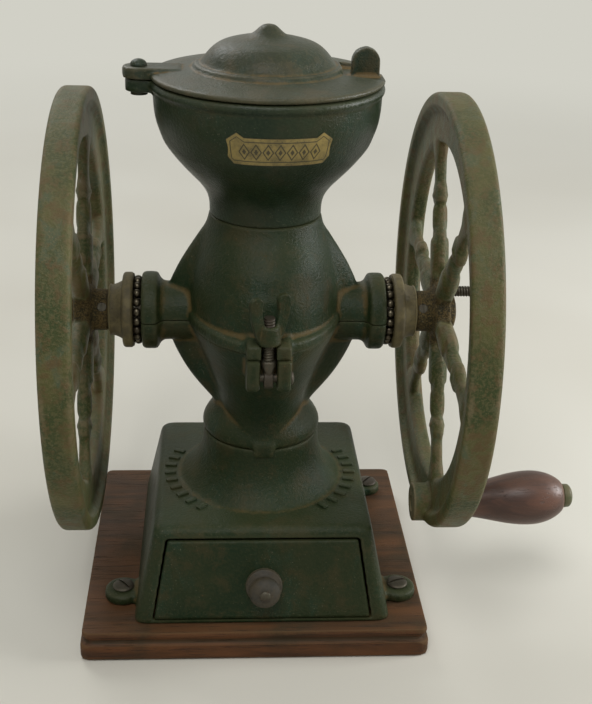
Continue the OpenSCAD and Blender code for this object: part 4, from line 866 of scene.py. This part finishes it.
def makeLowerHousing():
    shaftZ, bellTop, back, wide = level["shaft"], level["bellTop"], ear["back"], hinge["outer"]
    neck = (housing["neckSide"], housing["neckFront"], housing["neckSide"])
    rings = bodyRings(lowerShares, neck, housing["bellySide"], housing["bellyFront"],
                      bellTop + 6, shaftZ + 1)
    (left, gapLeft), (gapRight, right) = ear["cheeks"]
    cheeks = [clampEar(*ends, shaftZ - ear["foot"], shaftZ + 1) for ends in ear["cheeks"]]
    solids = [loft("body", rings), turned("foot", collarProfile(), 96), *arms(), *cheeks,
              block("earRoot", (left, -53, shaftZ - 15.5), (right, back, shaftZ + 1)),
              block("hingeRoot", (-wide, hinge["root"], shaftZ - 9), (wide, 67.5, shaftZ + 1)),
              block("tongue", (-5, -32, bellTop - 3.8), (6, -26, bellTop + 4))]
    shell = recast(joined("lowerHousing", solids), housing["grain"], 5)
    cutBy(shell, [
        block("over", (-90, -90, shaftZ - 0.05), (90, 90, shaftZ + 60)), *burrRoom(),
        rod("chute", housing["chute"], 60, 127.2, 96), block("drop", (-20, -9, 114), (-9, 9, 140)),
        block("earGap", (gapLeft, -90, 130), (gapRight, -52, shaftZ + 5)),
        block("hingeGap", (-8, 55.9, shaftZ - 6.7), (8, 90, shaftZ + 20)),
        hoop("bellRoom", 24, 31.1, bellTop - 9, bellTop - 0.02)])
    recast(shell, housing["grain"], 1, 0.7)
    ends = ((-wide, -hinge["inner"]), (hinge["inner"], wide))
    knuckles = [moved(rod("knuckle", hinge["knuckle"], a, b, 40), hingePlace()) for a, b in ends]
    spigot = hoop("spigot", housing["chute"] + 0.2, housing["spigot"], bellTop - 7, bellTop + 3)
    grownBy(shell, [*knuckles, spigot])
    cutBy(shell, pinsAndGrooves([clampPinPlace() @ spun(90, "Y"), hingePlace()]))
    keep(shell, "mill_frame", "painted", ["lower_housing"], 3.0, 0.4)


def makeUpperHousing():
    shaftZ, crown, lip = level["shaft"], level["crown"], housing["lip"]
    side, front, web = housing["bellySide"] + 0.3, housing["bellyFront"] + 0.5, housing["webReach"]
    rings = []
    for rise, inset, webInset in ((-1, 0, 0), (lip - 1.4, 0, 0), (lip - 0.4, 0.4, 0.2), (lip, 1.2, 0.4)):
        rings.append(sectionRing(shaftZ + rise, side - inset, front - inset, web - webInset))
    rings += bodyRings(upperShares, (housing["crown"],) * 3, housing["bellySide"],
                       front - housing["lipProud"], shaftZ + lip + 0.6, crown)
    rings.append([(x, y, z + 3) for x, y, z in rings[-1]])
    left, right, half = ear["cheeks"][0][0], ear["cheeks"][1][1], hinge["tongue"]
    solids = [loft("body", rings), *arms(),
              block("clampLug", (left, -62, shaftZ - 1), (right, -45.5, shaftZ + 7.4)),
              block("hingeLug", (-half, hinge["root"], shaftZ - 1), (half, hinge["y"], shaftZ + 3.6))]
    shell = recast(joined("upperHousing", solids), housing["grain"], 5)
    knuckleRooms = [block("knuckleRoom", (a, 56, shaftZ - 5), (b, 90, shaftZ + 6.6))
                    for a, b in ((-13.5, -3.9), (3.9, 13.5))]
    cutBy(shell, [
        block("under", (-90, -90, shaftZ - 60), (90, 90, shaftZ + 0.05)), *burrRoom(),
        block("crownCut", (-60, -60, crown), (60, 60, crown + 20)),
        rod("throat", housing["throat"], shaftZ + 32, 260, 96),
        rod("spigotRoom", housing["spigotRoom"], crown - 6, 260, 96),
        moved(rod("drop", 11.5, shaftZ, shaftZ + 38, 64), at(14.5)),
        block("boltSlot", (-3.15, -90, shaftZ - 5), (4.15, -54, shaftZ + 30)), *knuckleRooms])
    recast(shell, housing["grain"], 1, 0.7)
    grownBy(shell, [moved(rod("knuckle", hinge["knuckle"], -half, half, 40), hingePlace())])
    cutBy(shell, pinsAndGrooves([hingePlace()]))
    keep(shell, "mill_frame", "painted", ["upper_housing"], 3.0, 0.4)


makeLowerHousing()
makeUpperHousing()
print("housings ready")

clamp = {"bolt": 2.7, "boltFrom": 8.8, "boltLength": 31.0, "eye": 5.0, "eyeWidth": 4.5, "eyeRound": 0.6,
         "hole": 2.1, "nut": 5.75, "nutRise": 17.5, "nutHeight": 9.5, "nutRound": 1.4, "wingReach": 10.6,
         "wingHeight": 24.5, "wingHalf": 1.6, "lobe": 3.4, "turn": 25}
thread = {"depth": 0.35, "pitch": 1.4, "stepsEach": 8, "sides": 32}


# a threaded rod: the surface goes in and out with height and turn
def threaded(name, radius, low, high):
    depth, pitch, sides = thread["depth"], thread["pitch"], thread["sides"]
    steps = int((high - low) / pitch * thread["stepsEach"])
    rings = []
    for k in range(steps + 1):
        z = low + (high - low) * k / steps
        ends = min(1.0, (z - low) / pitch, (high - z) / pitch)
        ring = []
        for i, a in enumerate(roundTurns(sides)):
            inward = abs(2 * ((z / pitch - i / sides) % 1.0) - 1)
            r = radius - depth * max(0.0, min(1.0, 1.4 * inward - 0.2)) * ends - 0.5 * depth * (1 - ends)
            ring.append((r * math.cos(a), r * math.sin(a), z))
        rings.append(ring)
    return loft(name, rings)


# a flat link: the eye at the pin, broadening to the shoulder under the thread
def makeLink():
    rings = []
    for z, halfX, halfY in ((4.2, 2.2, 4.0), (5.2, 2.7, 3.9), (6.6, 3.3, 3.7), (7.6, 3.5, 3.5),
                            (8.6, 3.4, 3.4), (9.4, 2.7, 2.7)):
        corners = [pressed(a, 0.7) for a in roundTurns(32)]
        rings.append([(halfX * x, halfY * y, z) for x, y in corners])
    foot = [(x * 0.98, y * 0.98, 1.0) for x, y, _ in rings[0]]
    half, radius, bend = clamp["eyeWidth"] / 2, clamp["eye"], clamp["eyeRound"]
    rim = [(0, -half), (radius - 0.8, -half)] + arc(radius - bend, -half + bend, bend, -80, 0, 3)
    rim += arc(radius - bend, half - bend, bend, 0, 80, 3) + [(0, half)]
    eye = moved(turned("eye", rim, 48), spun(90, "Y"))
    link = recast(joined("link", [loft("link", [foot] + rings), eye]), 0.3, 2)
    return cutBy(link, [moved(rod("hole", clamp["hole"], -9, 9, 32), spun(90, "Y"))])


def wingOutline(side):
    reach, high, lobe, hub = clamp["wingReach"], clamp["wingHeight"], clamp["lobe"], clamp["nut"]
    top = high - lobe
    points = [(hub * 0.3, 1.5), (hub - 0.8, 1.2), (hub + 1.2, 4.0), (reach - 1.0, top * 0.6),
              (reach - 0.1, top - 1)]
    points += arc(reach - lobe, top, lobe, 10, 175)
    points += [(reach - 2 * lobe + 0.4, top * 0.74), (hub * 0.4, clamp["nutHeight"] * 0.8)]
    return [(side * x, z) for x, z in through(points, 4)]


def makeWing(side):
    outline = wingOutline(side)
    middle = np.mean(outline, axis=0)
    rings = []
    for y, inset in ((-1, 0.75), (-0.75, 0.25), (0.75, 0.25), (1, 0.75)):
        kept = [middle + (np.array(p) - middle) * (1 - inset / 12) for p in outline]
        rings.append([(x, y * clamp["wingHalf"], z) for x, z in kept])
    return loft("wing", rings)


def makeClamp():
    bolt = threaded("clampBolt", clamp["bolt"], clamp["boltFrom"], clamp["boltLength"])
    moved(grownBy(bolt, [makeLink()]), clampPinPlace())
    keep(bolt, "swing_bolt", "screw", ["clamp_bolt"], 0.8, 0.2)

    nut, high, bend = clamp["nut"], clamp["nutHeight"], clamp["nutRound"]
    hub = [(0, 0), (nut - 1.6, 0)] + arc(nut - bend, bend, bend, -80, 20, 4)
    hub += [(nut * 0.8, high - 0.8), (nut * 0.8 - 0.8, high), (0, high)]
    solids = [turned("hub", hub, 48), makeWing(-1), makeWing(1)]
    piece = casting("wingNut", solids, [rod("hole", clamp["bolt"] + 0.1, -5, 30, 32)], 0.36, 3, 0, 0.8)
    moved(piece, clampPinPlace() @ at(z=clamp["nutRise"]) @ spun(clamp["turn"], "Z"))
    keep(piece, "wing_nut", "painted", ["clamp_wing_nut"], 1.2, 0.25)


makeClamp()
print("clamp ready")

hopper = {"neck": 27.4, "rim": 55.5, "wall": 3.0, "throat": 19.0, "spigot": 22.0, "spigotDepth": 5,
          "bead": 5.0, "pivot": 60.5, "hole": 2.7, "lug": 6.5, "lugHeight": 6.3, "strapEnd": -51.5,
          "seat": 0.1, "grain": 0.75}
bowlShares = [(0, 0), (0.085, 0.01), (0.165, 0.06), (0.245, 0.18), (0.32, 0.34), (0.40, 0.51),
              (0.48, 0.66), (0.555, 0.78), (0.63, 0.85), (0.71, 0.91), (0.79, 0.94), (0.87, 0.952),
              (0.92, 0.952)]


# the bowl's outside, as (radius, height over the crown)
def bowlLine():
    wide, tall = hopper["rim"] - hopper["neck"], level["hopperTop"] - level["crown"]
    return through([(hopper["neck"] + wide * grown, tall * share) for share, grown in bowlShares], 5)


def makeHopper():
    height, throat, neck = level["hopperTop"] - level["crown"], hopper["throat"], hopper["neck"]
    rim, spigot, depth, bead = hopper["rim"], hopper["spigot"], hopper["spigotDepth"], hopper["bead"] / 2
    outside = bowlLine()
    inside = []
    for radius, z in reversed(outside):
        wall = hopper["wall"] * (1 + 1.2 * (1 - z / height) ** 6)
        inside.append((max(throat, radius - wall), z + 1))
    profile = [(throat, -depth), (spigot, -depth), (spigot, 0), (neck + 0.2, 0)]
    profile += outside[2:] + arc(rim - bead, height - bead, bead, -70, 90, 9)
    profile += [(rim - hopper["wall"] - 2.5, height)] + inside
    bowl = moved(turned("bowl", profile, 192), at(z=level["crown"] + hopper["seat"]))
    top, lug, pivot = level["hopperTop"] + hopper["seat"], hopper["lug"], -hopper["pivot"]
    low, high = top - hopper["lugHeight"], top - 0.1
    solids = [bowl, moved(rod("lug", lug, low, high), at(pivot)),
              block("strap", (pivot, -lug, low), (hopper["strapEnd"], lug, high))]
    hole = moved(rod("hole", hopper["hole"], 200, 300, 32), at(pivot))
    piece = casting("hopperBowl", solids, [hole], hopper["grain"], 1, 0, 0.8)
    keep(piece, "mill_frame", "hopper", ["hopper"], 3.0, 0.35)


label = {"centre": -85.8, "halfTurn": 26.3, "straight": 17.5, "peakTurn": 21.0, "lowTurn": 23.3,
         "top": 263.4, "peak": 265.6, "bottom": 250.2, "tipHigh": 262.1, "tipLow": 253.9, "recess": 0.8,
         "proud": 0.22, "thickness": 0.35, "line": 1.9, "lineHalf": 0.5, "rimInk": 0.4, "lozenges": 7,
         "lozengeRow": 20.5, "lozengeHeight": 4.2, "columns": 200, "rows": 56}


# how much ink lies at a place: a rim, a thin line inside it, and a row of lozenges with filled middles
def inkAt(edge, turn, z):
    line = max(0.0, 1 - abs(edge - label["line"]) / label["lineHalf"], 1 - edge / label["rimInk"])
    if abs(turn) >= label["lozengeRow"]:
        return line
    cell = abs((turn / (2 * label["lozengeRow"]) * label["lozenges"] + 0.5) % 1 - 0.5) * 2
    lozenge = cell + abs(z - (label["top"] + label["bottom"]) / 2) / label["lozengeHeight"]
    return max(line, 1 - abs(lozenge - 0.86) / 0.26, 1 - lozenge / 0.75)


# a plain gilt cartouche with peaked corners that follows the bowl
def makeLabel():
    columns, rows, half, bottom = label["columns"], label["rows"], label["halfTurn"], label["bottom"]
    highTurns = (0, label["straight"], label["peakTurn"], half)
    highs = (label["top"], label["top"], label["peak"], label["tipHigh"])
    lowTurns = (0, label["straight"], label["lowTurn"], half)
    lows = (bottom, bottom, bottom + 0.2, label["tipLow"])
    radii, heights = zip(*bowlLine())
    heights = [h + level["crown"] + hopper["seat"] for h in heights]
    points, ink = [], []
    for j in range(rows + 1):
        share = j / rows
        for i in range(columns + 1):
            u = -1 + 2 * i / columns
            off = abs(u) * half
            high, low = np.interp(off, highTurns, highs), np.interp(off, lowTurns, lows)
            z = low + (high - low) * share
            off -= label["recess"] * math.sin(math.pi * share) * abs(u) ** 10
            turn = math.radians(label["centre"] + math.copysign(off, u))
            radius = float(np.interp(z, heights, radii)) + label["proud"]
            points.append((radius * math.cos(turn), radius * math.sin(turn), z))
            ink.append(inkAt(min(math.radians(half - off) * radius, high - z, z - low), u * half, z))
    wide = columns + 1
    starts = [j * wide + i for j in range(rows) for i in range(columns)]
    faces = [(a, a + 1, a + wide + 1, a + wide) for a in starts]
    piece = makeObject("giltLabel", points, faces)
    stored(piece, "border", ink)
    modified(piece, "SOLIDIFY", thickness=label["thickness"], offset=-1.0)
    keep(piece, "mill_frame", "label", (), 0.8, 0.3)


makeHopper()
makeLabel()
print("hopper ready")

lid = {"brim": 55.5, "edge": 2.7, "brimHeight": 5.6, "dome": 35.0, "shoulder": 19.5, "height": 25.4,
       "hole": 2.6, "lug": 7.7, "lugHeight": 5.2, "strapEnd": -41.5, "thumbReach": 46.2,
       "thumbWidth": 13.5, "thumbHeight": 15.1, "thumbDepth": 6, "grain": 0.75}
# the dome as shares of its radius and shoulder, then the nipple and the hollow as (radius, height)
domeShares = [(0.93, 0.36), (0.88, 0.46), (0.82, 0.60), (0.74, 0.74), (0.63, 0.86)]
nipple = [(16.1, 18.5), (13.6, 19.0), (11, 19.6), (8.6, 20.4), (6.9, 21.5), (5.7, 22.6), (4.7, 23.6),
          (3.4, 24.6), (1.8, 25.2)]
lidHollow = [(14, 15.5), (25.2, 10.6), (30.5, 3.3)]


def makeLid():
    dome, half, wide = lid["dome"], lid["edge"] / 2, lid["thumbWidth"] / 2
    top = arc(lid["brim"] - half, half, half, -90, 70)
    top += [(46, 4.0), (dome + 1, lid["brimHeight"] - 0.4)]
    top += arc(dome - 1.2, lid["brimHeight"] + 0.7, 1.3, -20, 120, 5)
    crest = [(dome * a, lid["shoulder"] * b) for a, b in domeShares] + nipple + [(0, lid["height"])]
    under = [(0, 16.5)] + lidHollow + [(dome - 0.8, 0)]
    cover = recast(turned("cover", top + through(crest, 4) + under, 192), lid["grain"], 1)
    cutBy(cover, [block("recess", (dome - 0.6, -12, 1.6), (64, 20, 40))])

    outline = [(-wide, 0.3), (wide, 0.3)] + arc(0, lid["thumbHeight"] - wide, wide, 0, 180, 18)
    sides = (0, lid["thumbDepth"])
    thumb = loft("thumb", [[(lid["thumbReach"] + x, y, z) for x, z in outline] for y in sides])
    lug, pivot, high = lid["lug"], -hopper["pivot"], lid["lugHeight"]
    strap = block("strap", (pivot, -lug, 0), (lid["strapEnd"], lug, high))
    cover = joined("lidCover", [cover, thumb, moved(rod("lug", lug, 0, high), at(pivot)), strap])
    recast(cover, lid["grain"], 3)
    hollow = turned("hollow", [(0, -5), (dome - 0.8, -5)] + list(reversed(under)), 96)
    cutBy(cover, [hollow, moved(rod("hole", lid["hole"], -5, 40, 32), at(pivot))])
    modified(cover, "DECIMATE", ratio=0.8)
    keep(moved(cover, at(z=level["lid"])), "hopper_lid", "lid", ["lid"], 2.5, 0.3)


makeLid()
print("lid ready")

wheel = {"radius": 111.0, "lipDepth": 7.0, "rimDepth": 25.0, "rimFaces": (-3.5, 11.5), "web": 8.0,
         "spoke": 6.0, "waist": 4.5, "spokeFrom": 9.0, "spokeTo": 88.0, "spokes": 6, "spokeTurn": 9.0,
         "start": 88.0, "hub": 10.5, "hubEnds": (-10, 10.5), "disc": 15.0, "bore": 6.2,
         "screwPlace": 81.2, "screwHole": 2.35, "screwTurn": 60, "boss": 10, "bossEnds": (78.9, 99.5),
         "studBoss": 4.6, "grain": 0.8}
# share of the spoke's length, and its half width there
spokeShares = [(0, 7.5), (0.10, 4.0), (0.22, 7.5), (0.34, 7.5), (0.52, 4.5), (0.58, 4.5), (0.61, 7.5),
               (0.67, 7.5), (0.74, 4.5), (0.84, 5.0), (1, 9.0)]
# the round-tipped bud and the leaf raised on a spoke: both ends, half width and rise
buds = ((11.0, 38.2, 6.2, 1.7), (40.0, 55.5, 3.4, 0.9))
budRing = ((1, 0), (0.75, 0.62), (0.4, 0.92), (0, 1), (-0.4, 0.92), (-0.75, 0.62), (-1, 0))
# where the handle and the adjusting stud stand on the right wheel
handleSpot = {"reach": 101, "turn": 252, "x": 99.5, "tilt": 87, "hole": 4.2}
studSpot = {"reach": 12, "turn": 99, "ends": (89.8, 111.8), "radius": 2.75, "hole": 2.95}


def easeShare(t, table):
    for (x0, v0), (x1, v1) in zip(table, table[1:]):
        if t <= x1:
            f = (t - x0) / (x1 - x0)
            return v0 + (v1 - v0) * (1 - math.cos(math.pi * f)) / 2


# half width of a bud that swells from the hub to a round tip
def budShape(t):
    shape = 0.62 + 0.38 * min(1.0, t / 0.72)
    for end in (max(0.0, (t - 0.78) / 0.22), max(0.0, 1 - t / 0.12)):
        shape *= math.sqrt(max(0.0, 1 - end ** 2))
    return max(0.02, shape)


def makeBud(low, high, half, rise, side):
    flat = wheel["spoke"] / 2
    face = flat + side * (flat - 0.6)
    rings = []
    for k in range(17):
        t = 0.5 - 0.5 * math.cos(math.pi * k / 16)
        width = half * budShape(t) if rise > 1 else half * math.sin(math.pi * t) ** 0.8 + 0.05
        crest = side * (rise + 0.5) * min(1.0, 0.35 + width / half)
        x = low + (high - low) * t
        rings.append([(x, width * y, face + crest * z) for y, z in budRing] + [(x, 0, face - side)])
    return loft("bud", rings)


# a rounded bar with knuckles and waists, and a bud and a leaf raised on both faces
def makeSpoke():
    start, end, flat = wheel["spokeFrom"], wheel["spokeTo"], wheel["spoke"] / 2
    corners = [pressed(a, 0.75) for a in roundTurns(28)]
    rings = []
    for k in range(61):
        x = start + (end - start) * k / 60
        half = easeShare(k / 60, spokeShares)
        thick = flat * (0.92 + 0.16 * (half - wheel["waist"]) / 3)
        rings.append([(x, half * y, flat + thick * z) for y, z in corners])
    parts = [loft("bar", rings)] + [makeBud(*bud, side) for bud in buds for side in (-1, 1)]
    knuckle = turned("knuckle", arc(0, 0, 4.3, -90, 90, 10), 24)
    moved(knuckle, at(59.6, 0, flat) @ Matrix.Diagonal((0.75, 1.45, 0.95, 1)))
    return joined("spoke", parts + [knuckle])


def rimProfile():
    (inner, outer), outside = wheel["rimFaces"], wheel["radius"]
    bore, lip = outside - wheel["rimDepth"] + 2.5, outside - wheel["lipDepth"]
    profile = arc(bore, 2.5, 2.5, 180, 270, 5) + arc(lip - 3.3, inner, 3.5, 90, 15, 5)
    profile += arc(lip + 1.3, inner + 1.3, 1.3, 190, 270, 3)
    profile += arc(outside - 2.4, inner + 2.4, 2.4, -90, 0, 5) + [(outside, (inner + outer) / 2)]
    profile += arc(outside - 2.4, outer - 2.4, 2.4, 0, 90, 5)
    profile += arc(lip + 1.3, outer - 1.3, 1.3, 90, 170, 3) + arc(lip - 3.3, outer, 3.5, -15, -90, 5)
    return profile + arc(bore, wheel["web"] - 2.5, 2.5, 90, 180, 5)


def hubProfile():
    hub, disc, bore, (back, front) = wheel["hub"], wheel["disc"], wheel["bore"], wheel["hubEnds"]
    profile = [(bore, back), (hub - 1.2, back), (hub, back + 1.2), (hub, -2)]
    profile += arc(disc - 1.4, 0.6, 1.4, -90, 0, 4) + arc(disc - 1.4, 5.4, 1.4, 0, 90, 4)
    return profile + [(hub - 1.3, 7.4), (hub - 1.3, front - 1.1), (hub - 2.4, front), (bore, front)]


# a place on the right wheel's face, with Z along the shaft or tilted from it
def onWheel(spot, x=0.0, tilt=90):
    y, z = arc(0, level["shaft"], spot["reach"], spot["turn"], spot["turn"], 1)[0]
    return at(x, y, z) @ spun(tilt, "Y")


def handlePlace():
    return onWheel(handleSpot, handleSpot["x"], handleSpot["tilt"])


def makeWheel(name, side, nodes):
    spokes = onRing("spokes", makeSpoke(), wheel["spokes"], 0.0, 90 + wheel["spokeTurn"], 360, "wheel")
    parts = [turned("rim", rimProfile(), 240), turned("hub", hubProfile(), 96), spokes]
    piece = moved(joined(name, parts), onShaft(wheel["start"], side))
    screwPlace = at(wheel["screwPlace"], 0, level["shaft"]) @ spun(wheel["screwTurn"], "X")
    screwHole = moved(rod("screwHole", wheel["screwHole"], 3, 30, 32), screwPlace)
    tools = [moved(rod("bore", wheel["bore"], -120, 120, 48), onShaft()),
             moved(screwHole, Matrix.Diagonal((side, 1, 1, 1)))]
    if side > 0:
        boss = moved(rod("boss", wheel["boss"], *wheel["bossEnds"]), onWheel(handleSpot))
        stud = moved(rod("studBoss", wheel["studBoss"], 88, 95, 32), onWheel(studSpot))
        piece = joined(name, [piece, boss, stud])
        tools.append(moved(rod("studHole", handleSpot["hole"], -40, 20, 32), handlePlace()))
        tools.append(moved(rod("adjusterHole", studSpot["hole"], 89.5, 130, 32), onWheel(studSpot)))
    cutBy(recast(piece, wheel["grain"], 3), tools)
    modified(piece, "DECIMATE", ratio=0.62)
    reach = np.array([math.hypot(v.co.y, v.co.z - level["shaft"]) for v in piece.data.vertices])
    stored(piece, "crust", (24 - reach) / 12)
    keep(piece, "rotor", "wheel", nodes, 2.5, 0.35)


makeWheel("leftWheel", -1, ["wheel_left"])
makeWheel("rightWheel", 1, ["wheel_right"])
print("wheels ready")

flange = {"radius": 19.2, "round": 1.6, "thickness": 5.4, "trumpet": 7.0, "end": 12.8, "flare": 2.4,
          "bore": 6.15, "start": 65.6, "balls": 20}


def makeBearings():
    for side, word in ((-1, "left"), (1, "right")):
        bend, thick, long, bore = flange["round"], flange["thickness"], flange["trumpet"], flange["bore"]
        profile = [(bore, 0)] + arc(flange["radius"] - bend, bend, bend, -90, 0, 4)
        profile += arc(flange["radius"] - bend, thick - bend, bend, 0, 90, 4)
        for t in (i / 8 for i in range(9)):
            reach = flange["end"] + flange["flare"] * (1 - t) ** 2
            profile.append((reach, thick + 0.1 + (long - 0.3) * t))
        profile.append((bore, thick + long - 0.2))
        piece = turned("thrustFlange." + word, through(profile + profile[:1], 2)[:-1], 96)
        cutBy(moved(piece, onShaft(flange["start"], side)), [ballGroove(side, 0.08)])
        keep(piece, "rotor", "rusty", ["thrust_flange_" + word], 1.8, 0.3)
        ball = turned("ball", arc(0, 0, housing["ball"], -90, 90, 12), 20)
        balls = onRing("ballRing." + word, ball, flange["balls"], housing["ballCircle"], 0, 360, "ball")
        moved(balls, ballPlace(side))
        keep(balls, word + "_balls", "ball", ["ball_ring_" + word], 1.0, 1.0)


makeBearings()
print("bearings ready")

handle = {"length": 59.2, "start": 0.5, "radius": 14.25, "neck": 7.8, "belly": 0.7, "round": 0.35,
          "stud": 4.05, "studShank": 4.0, "button": 6.25, "buttonRound": 0.8, "buttonHeight": 5.4}


def gripReach(t):
    wide, neck, belly = handle["radius"], handle["neck"], handle["belly"]
    if t < belly:
        return neck + (wide - neck) * (1 - math.cos(math.pi * t / belly)) / 2
    return wide * math.sqrt(1 - ((t - belly) / handle["round"]) ** 2)


def makeHandle():
    start, stud = handle["start"], handle["stud"]
    end = start + handle["length"]
    profile = [(stud, start), (handle["neck"] - 0.6, start)]
    profile += [(gripReach(t), start + handle["length"] * t) for t in np.linspace(0.012, 0.985, 60)]
    profile += [(gripReach(1) - 0.4, end), (stud, end)]
    grip = moved(turned("handleGrip", profile, 96), handlePlace())
    keep(grip, "grip", "grip", ["handle_grip"], 2.5, 0.3)

    button, high, shank = handle["button"], handle["buttonHeight"], handle["studShank"]
    bend, low, wide = handle["buttonRound"], end + 0.3, button * 0.98
    head = [(0, -20), (shank, -20), (shank, low), (button - bend, low)]
    head += arc(button - bend, low + bend, bend, -60, 0, 2)
    head += arc(0, low + high * 0.45, wide, 8, 88, 10, high * 0.55 / wide) + [(0, low + high)]
    piece = moved(turned("handleStud", head, 64), handlePlace())
    keep(piece, "rotor", "button", ["handle_stud"], 1.5, 0.3)

    piece = moved(threaded("adjustingStud", studSpot["radius"], *studSpot["ends"]), onWheel(studSpot))
    keep(piece, "rotor", "screw", ["adjusting_stud"], 0.8, 0.2)


makeHandle()
print("handle ready")

# CAD nodes that stay, with their finishes
stayFinish = {"shaft": "steel", "burr_pin": "steel", "fixed_burr": "burr", "turning_burr": "burr",
              "drawer_box": "tin", "set_screw_left": "screw", "set_screw_right": "screw",
              "clamp_pin": "screw", "hinge_pin": "steel", "lid_rivet": "lid"}
for node, key in stayFinish.items():
    for slot in cadNodes[node].material_slots:
        slot.material = finishes[key]

studio = {"floor": shade(218, 216, 206), "floorShade": shade(209, 206, 195), "half": 4, "near": 0.4,
          "far": 1.5, "backdrop": shade(209, 208, 198), "sky": shade(222, 221, 214),
          "skyStrength": 0.85, "fill": 0.38, "lampAim": (0, 0, 0.15)}
# place, power and size of each lamp
lamps = {"keyLight": ((-0.15, -0.85, 1.4), 9.5, 0.7), "sideLight": ((1.3, 0.0, 0.55), 14.0, 0.6),
         "backLight": ((-0.6, 1.1, 1.2), 7.0, 0.7)}
view = {"place": (-0.02467, -0.55842, 0.39535), "yaw": 0.0756, "pitch": 0.4332, "roll": 0.03427,
        "lens": 60.36, "sensor": 36}


# 1 where the camera, a mirror or a clear piece sees a surface
def seenDirectly(sheet):
    rays = sheet.tree.nodes.new("ShaderNodeLightPath")
    camera, glossy, clear = [Wire(sheet, rays.outputs["Is " + kind + " Ray"])
                             for kind in ("Camera", "Glossy", "Transmission")]
    return sheet.greater(sheet.greater(camera, glossy), clear)


# a pale matt floor that takes the shadow near the mill and turns into an even backdrop far from it
def makeFloor():
    half = studio["half"]
    floor = makeObject("floor", [(-half, -half, 0), (half, -half, 0), (half, half, 0), (-half, half, 0)],
                       [(0, 1, 2, 3)])
    finish, sheet, place = newFinish("paleFloor")
    soft = sheet.noise(place, 3.0, 2.0, 0.5)
    colour = sheet.tint(sheet.rise(soft, 0.3, 0.7), studio["floor"], studio["floorShade"])
    distance = sheet.add("ShaderNodeVectorMath", {"operation": "LENGTH"}, {0: place}, out="Value")
    far = sheet.rise(distance, studio["near"], studio["far"])
    shader = sheet.add("ShaderNodeBsdfPrincipled", {}, {"Base Color": colour, "Roughness": 0.9})
    glow = sheet.add("ShaderNodeEmission", {}, {"Color": studio["backdrop"], "Strength": 1.0})
    mixed = sheet.add("ShaderNodeMixShader", {}, {0: far * seenDirectly(sheet), 1: shader, 2: glow})
    sheet.add("ShaderNodeOutputMaterial", {}, {"Surface": mixed})
    floor.data.materials.append(finish)


def makeWorld():
    world = bpy.data.worlds.new("studioAir")
    bpy.context.scene.world = world
    world.use_nodes = True
    world.node_tree.nodes.clear()
    sheet = Sheet(world.node_tree)
    strength = studio["fill"] + (studio["skyStrength"] - studio["fill"]) * seenDirectly(sheet)
    sky = sheet.add("ShaderNodeBackground", {}, {"Color": studio["sky"], "Strength": strength})
    sheet.add("ShaderNodeOutputWorld", {}, {"Surface": sky})


def makeLamp(name, place, power, size):
    data = bpy.data.lights.new(name, "AREA")
    data.energy = power
    data.shape = "DISK"
    data.size = size
    holder = bpy.data.objects.new(name, data)
    bpy.context.scene.collection.objects.link(holder)
    holder.location = place
    holder.rotation_mode = "QUATERNION"
    holder.rotation_quaternion = (Vector(studio["lampAim"]) - Vector(place)).to_track_quat("-Z", "Y")


def makeCamera():
    yaw, pitch, roll = view["yaw"], view["pitch"], view["roll"]
    flat = math.cos(pitch)
    forward = Vector((math.sin(yaw) * flat, math.cos(yaw) * flat, -math.sin(pitch)))
    right = Vector((math.cos(yaw), -math.sin(yaw), 0))
    up = right.cross(forward)
    across = right * math.cos(roll) + up * math.sin(roll)
    upward = up * math.cos(roll) - right * math.sin(roll)
    data = bpy.data.cameras.new("camera")
    data.lens = view["lens"]
    data.sensor_width = view["sensor"]
    data.sensor_fit = "AUTO"
    data.clip_start, data.clip_end = 0.01, 20
    camera = bpy.data.objects.new("camera", data)
    bpy.context.scene.collection.objects.link(camera)
    turn = Matrix((across, upward, -forward)).transposed().to_4x4()
    camera.matrix_world = Matrix.Translation(view["place"]) @ turn
    bpy.context.scene.camera = camera


makeFloor()
makeWorld()
for name, (place, power, size) in lamps.items():
    makeLamp(name, place, power, size)
makeCamera()
bpy.context.scene.view_settings.view_transform = "Standard"
print("studio ready")
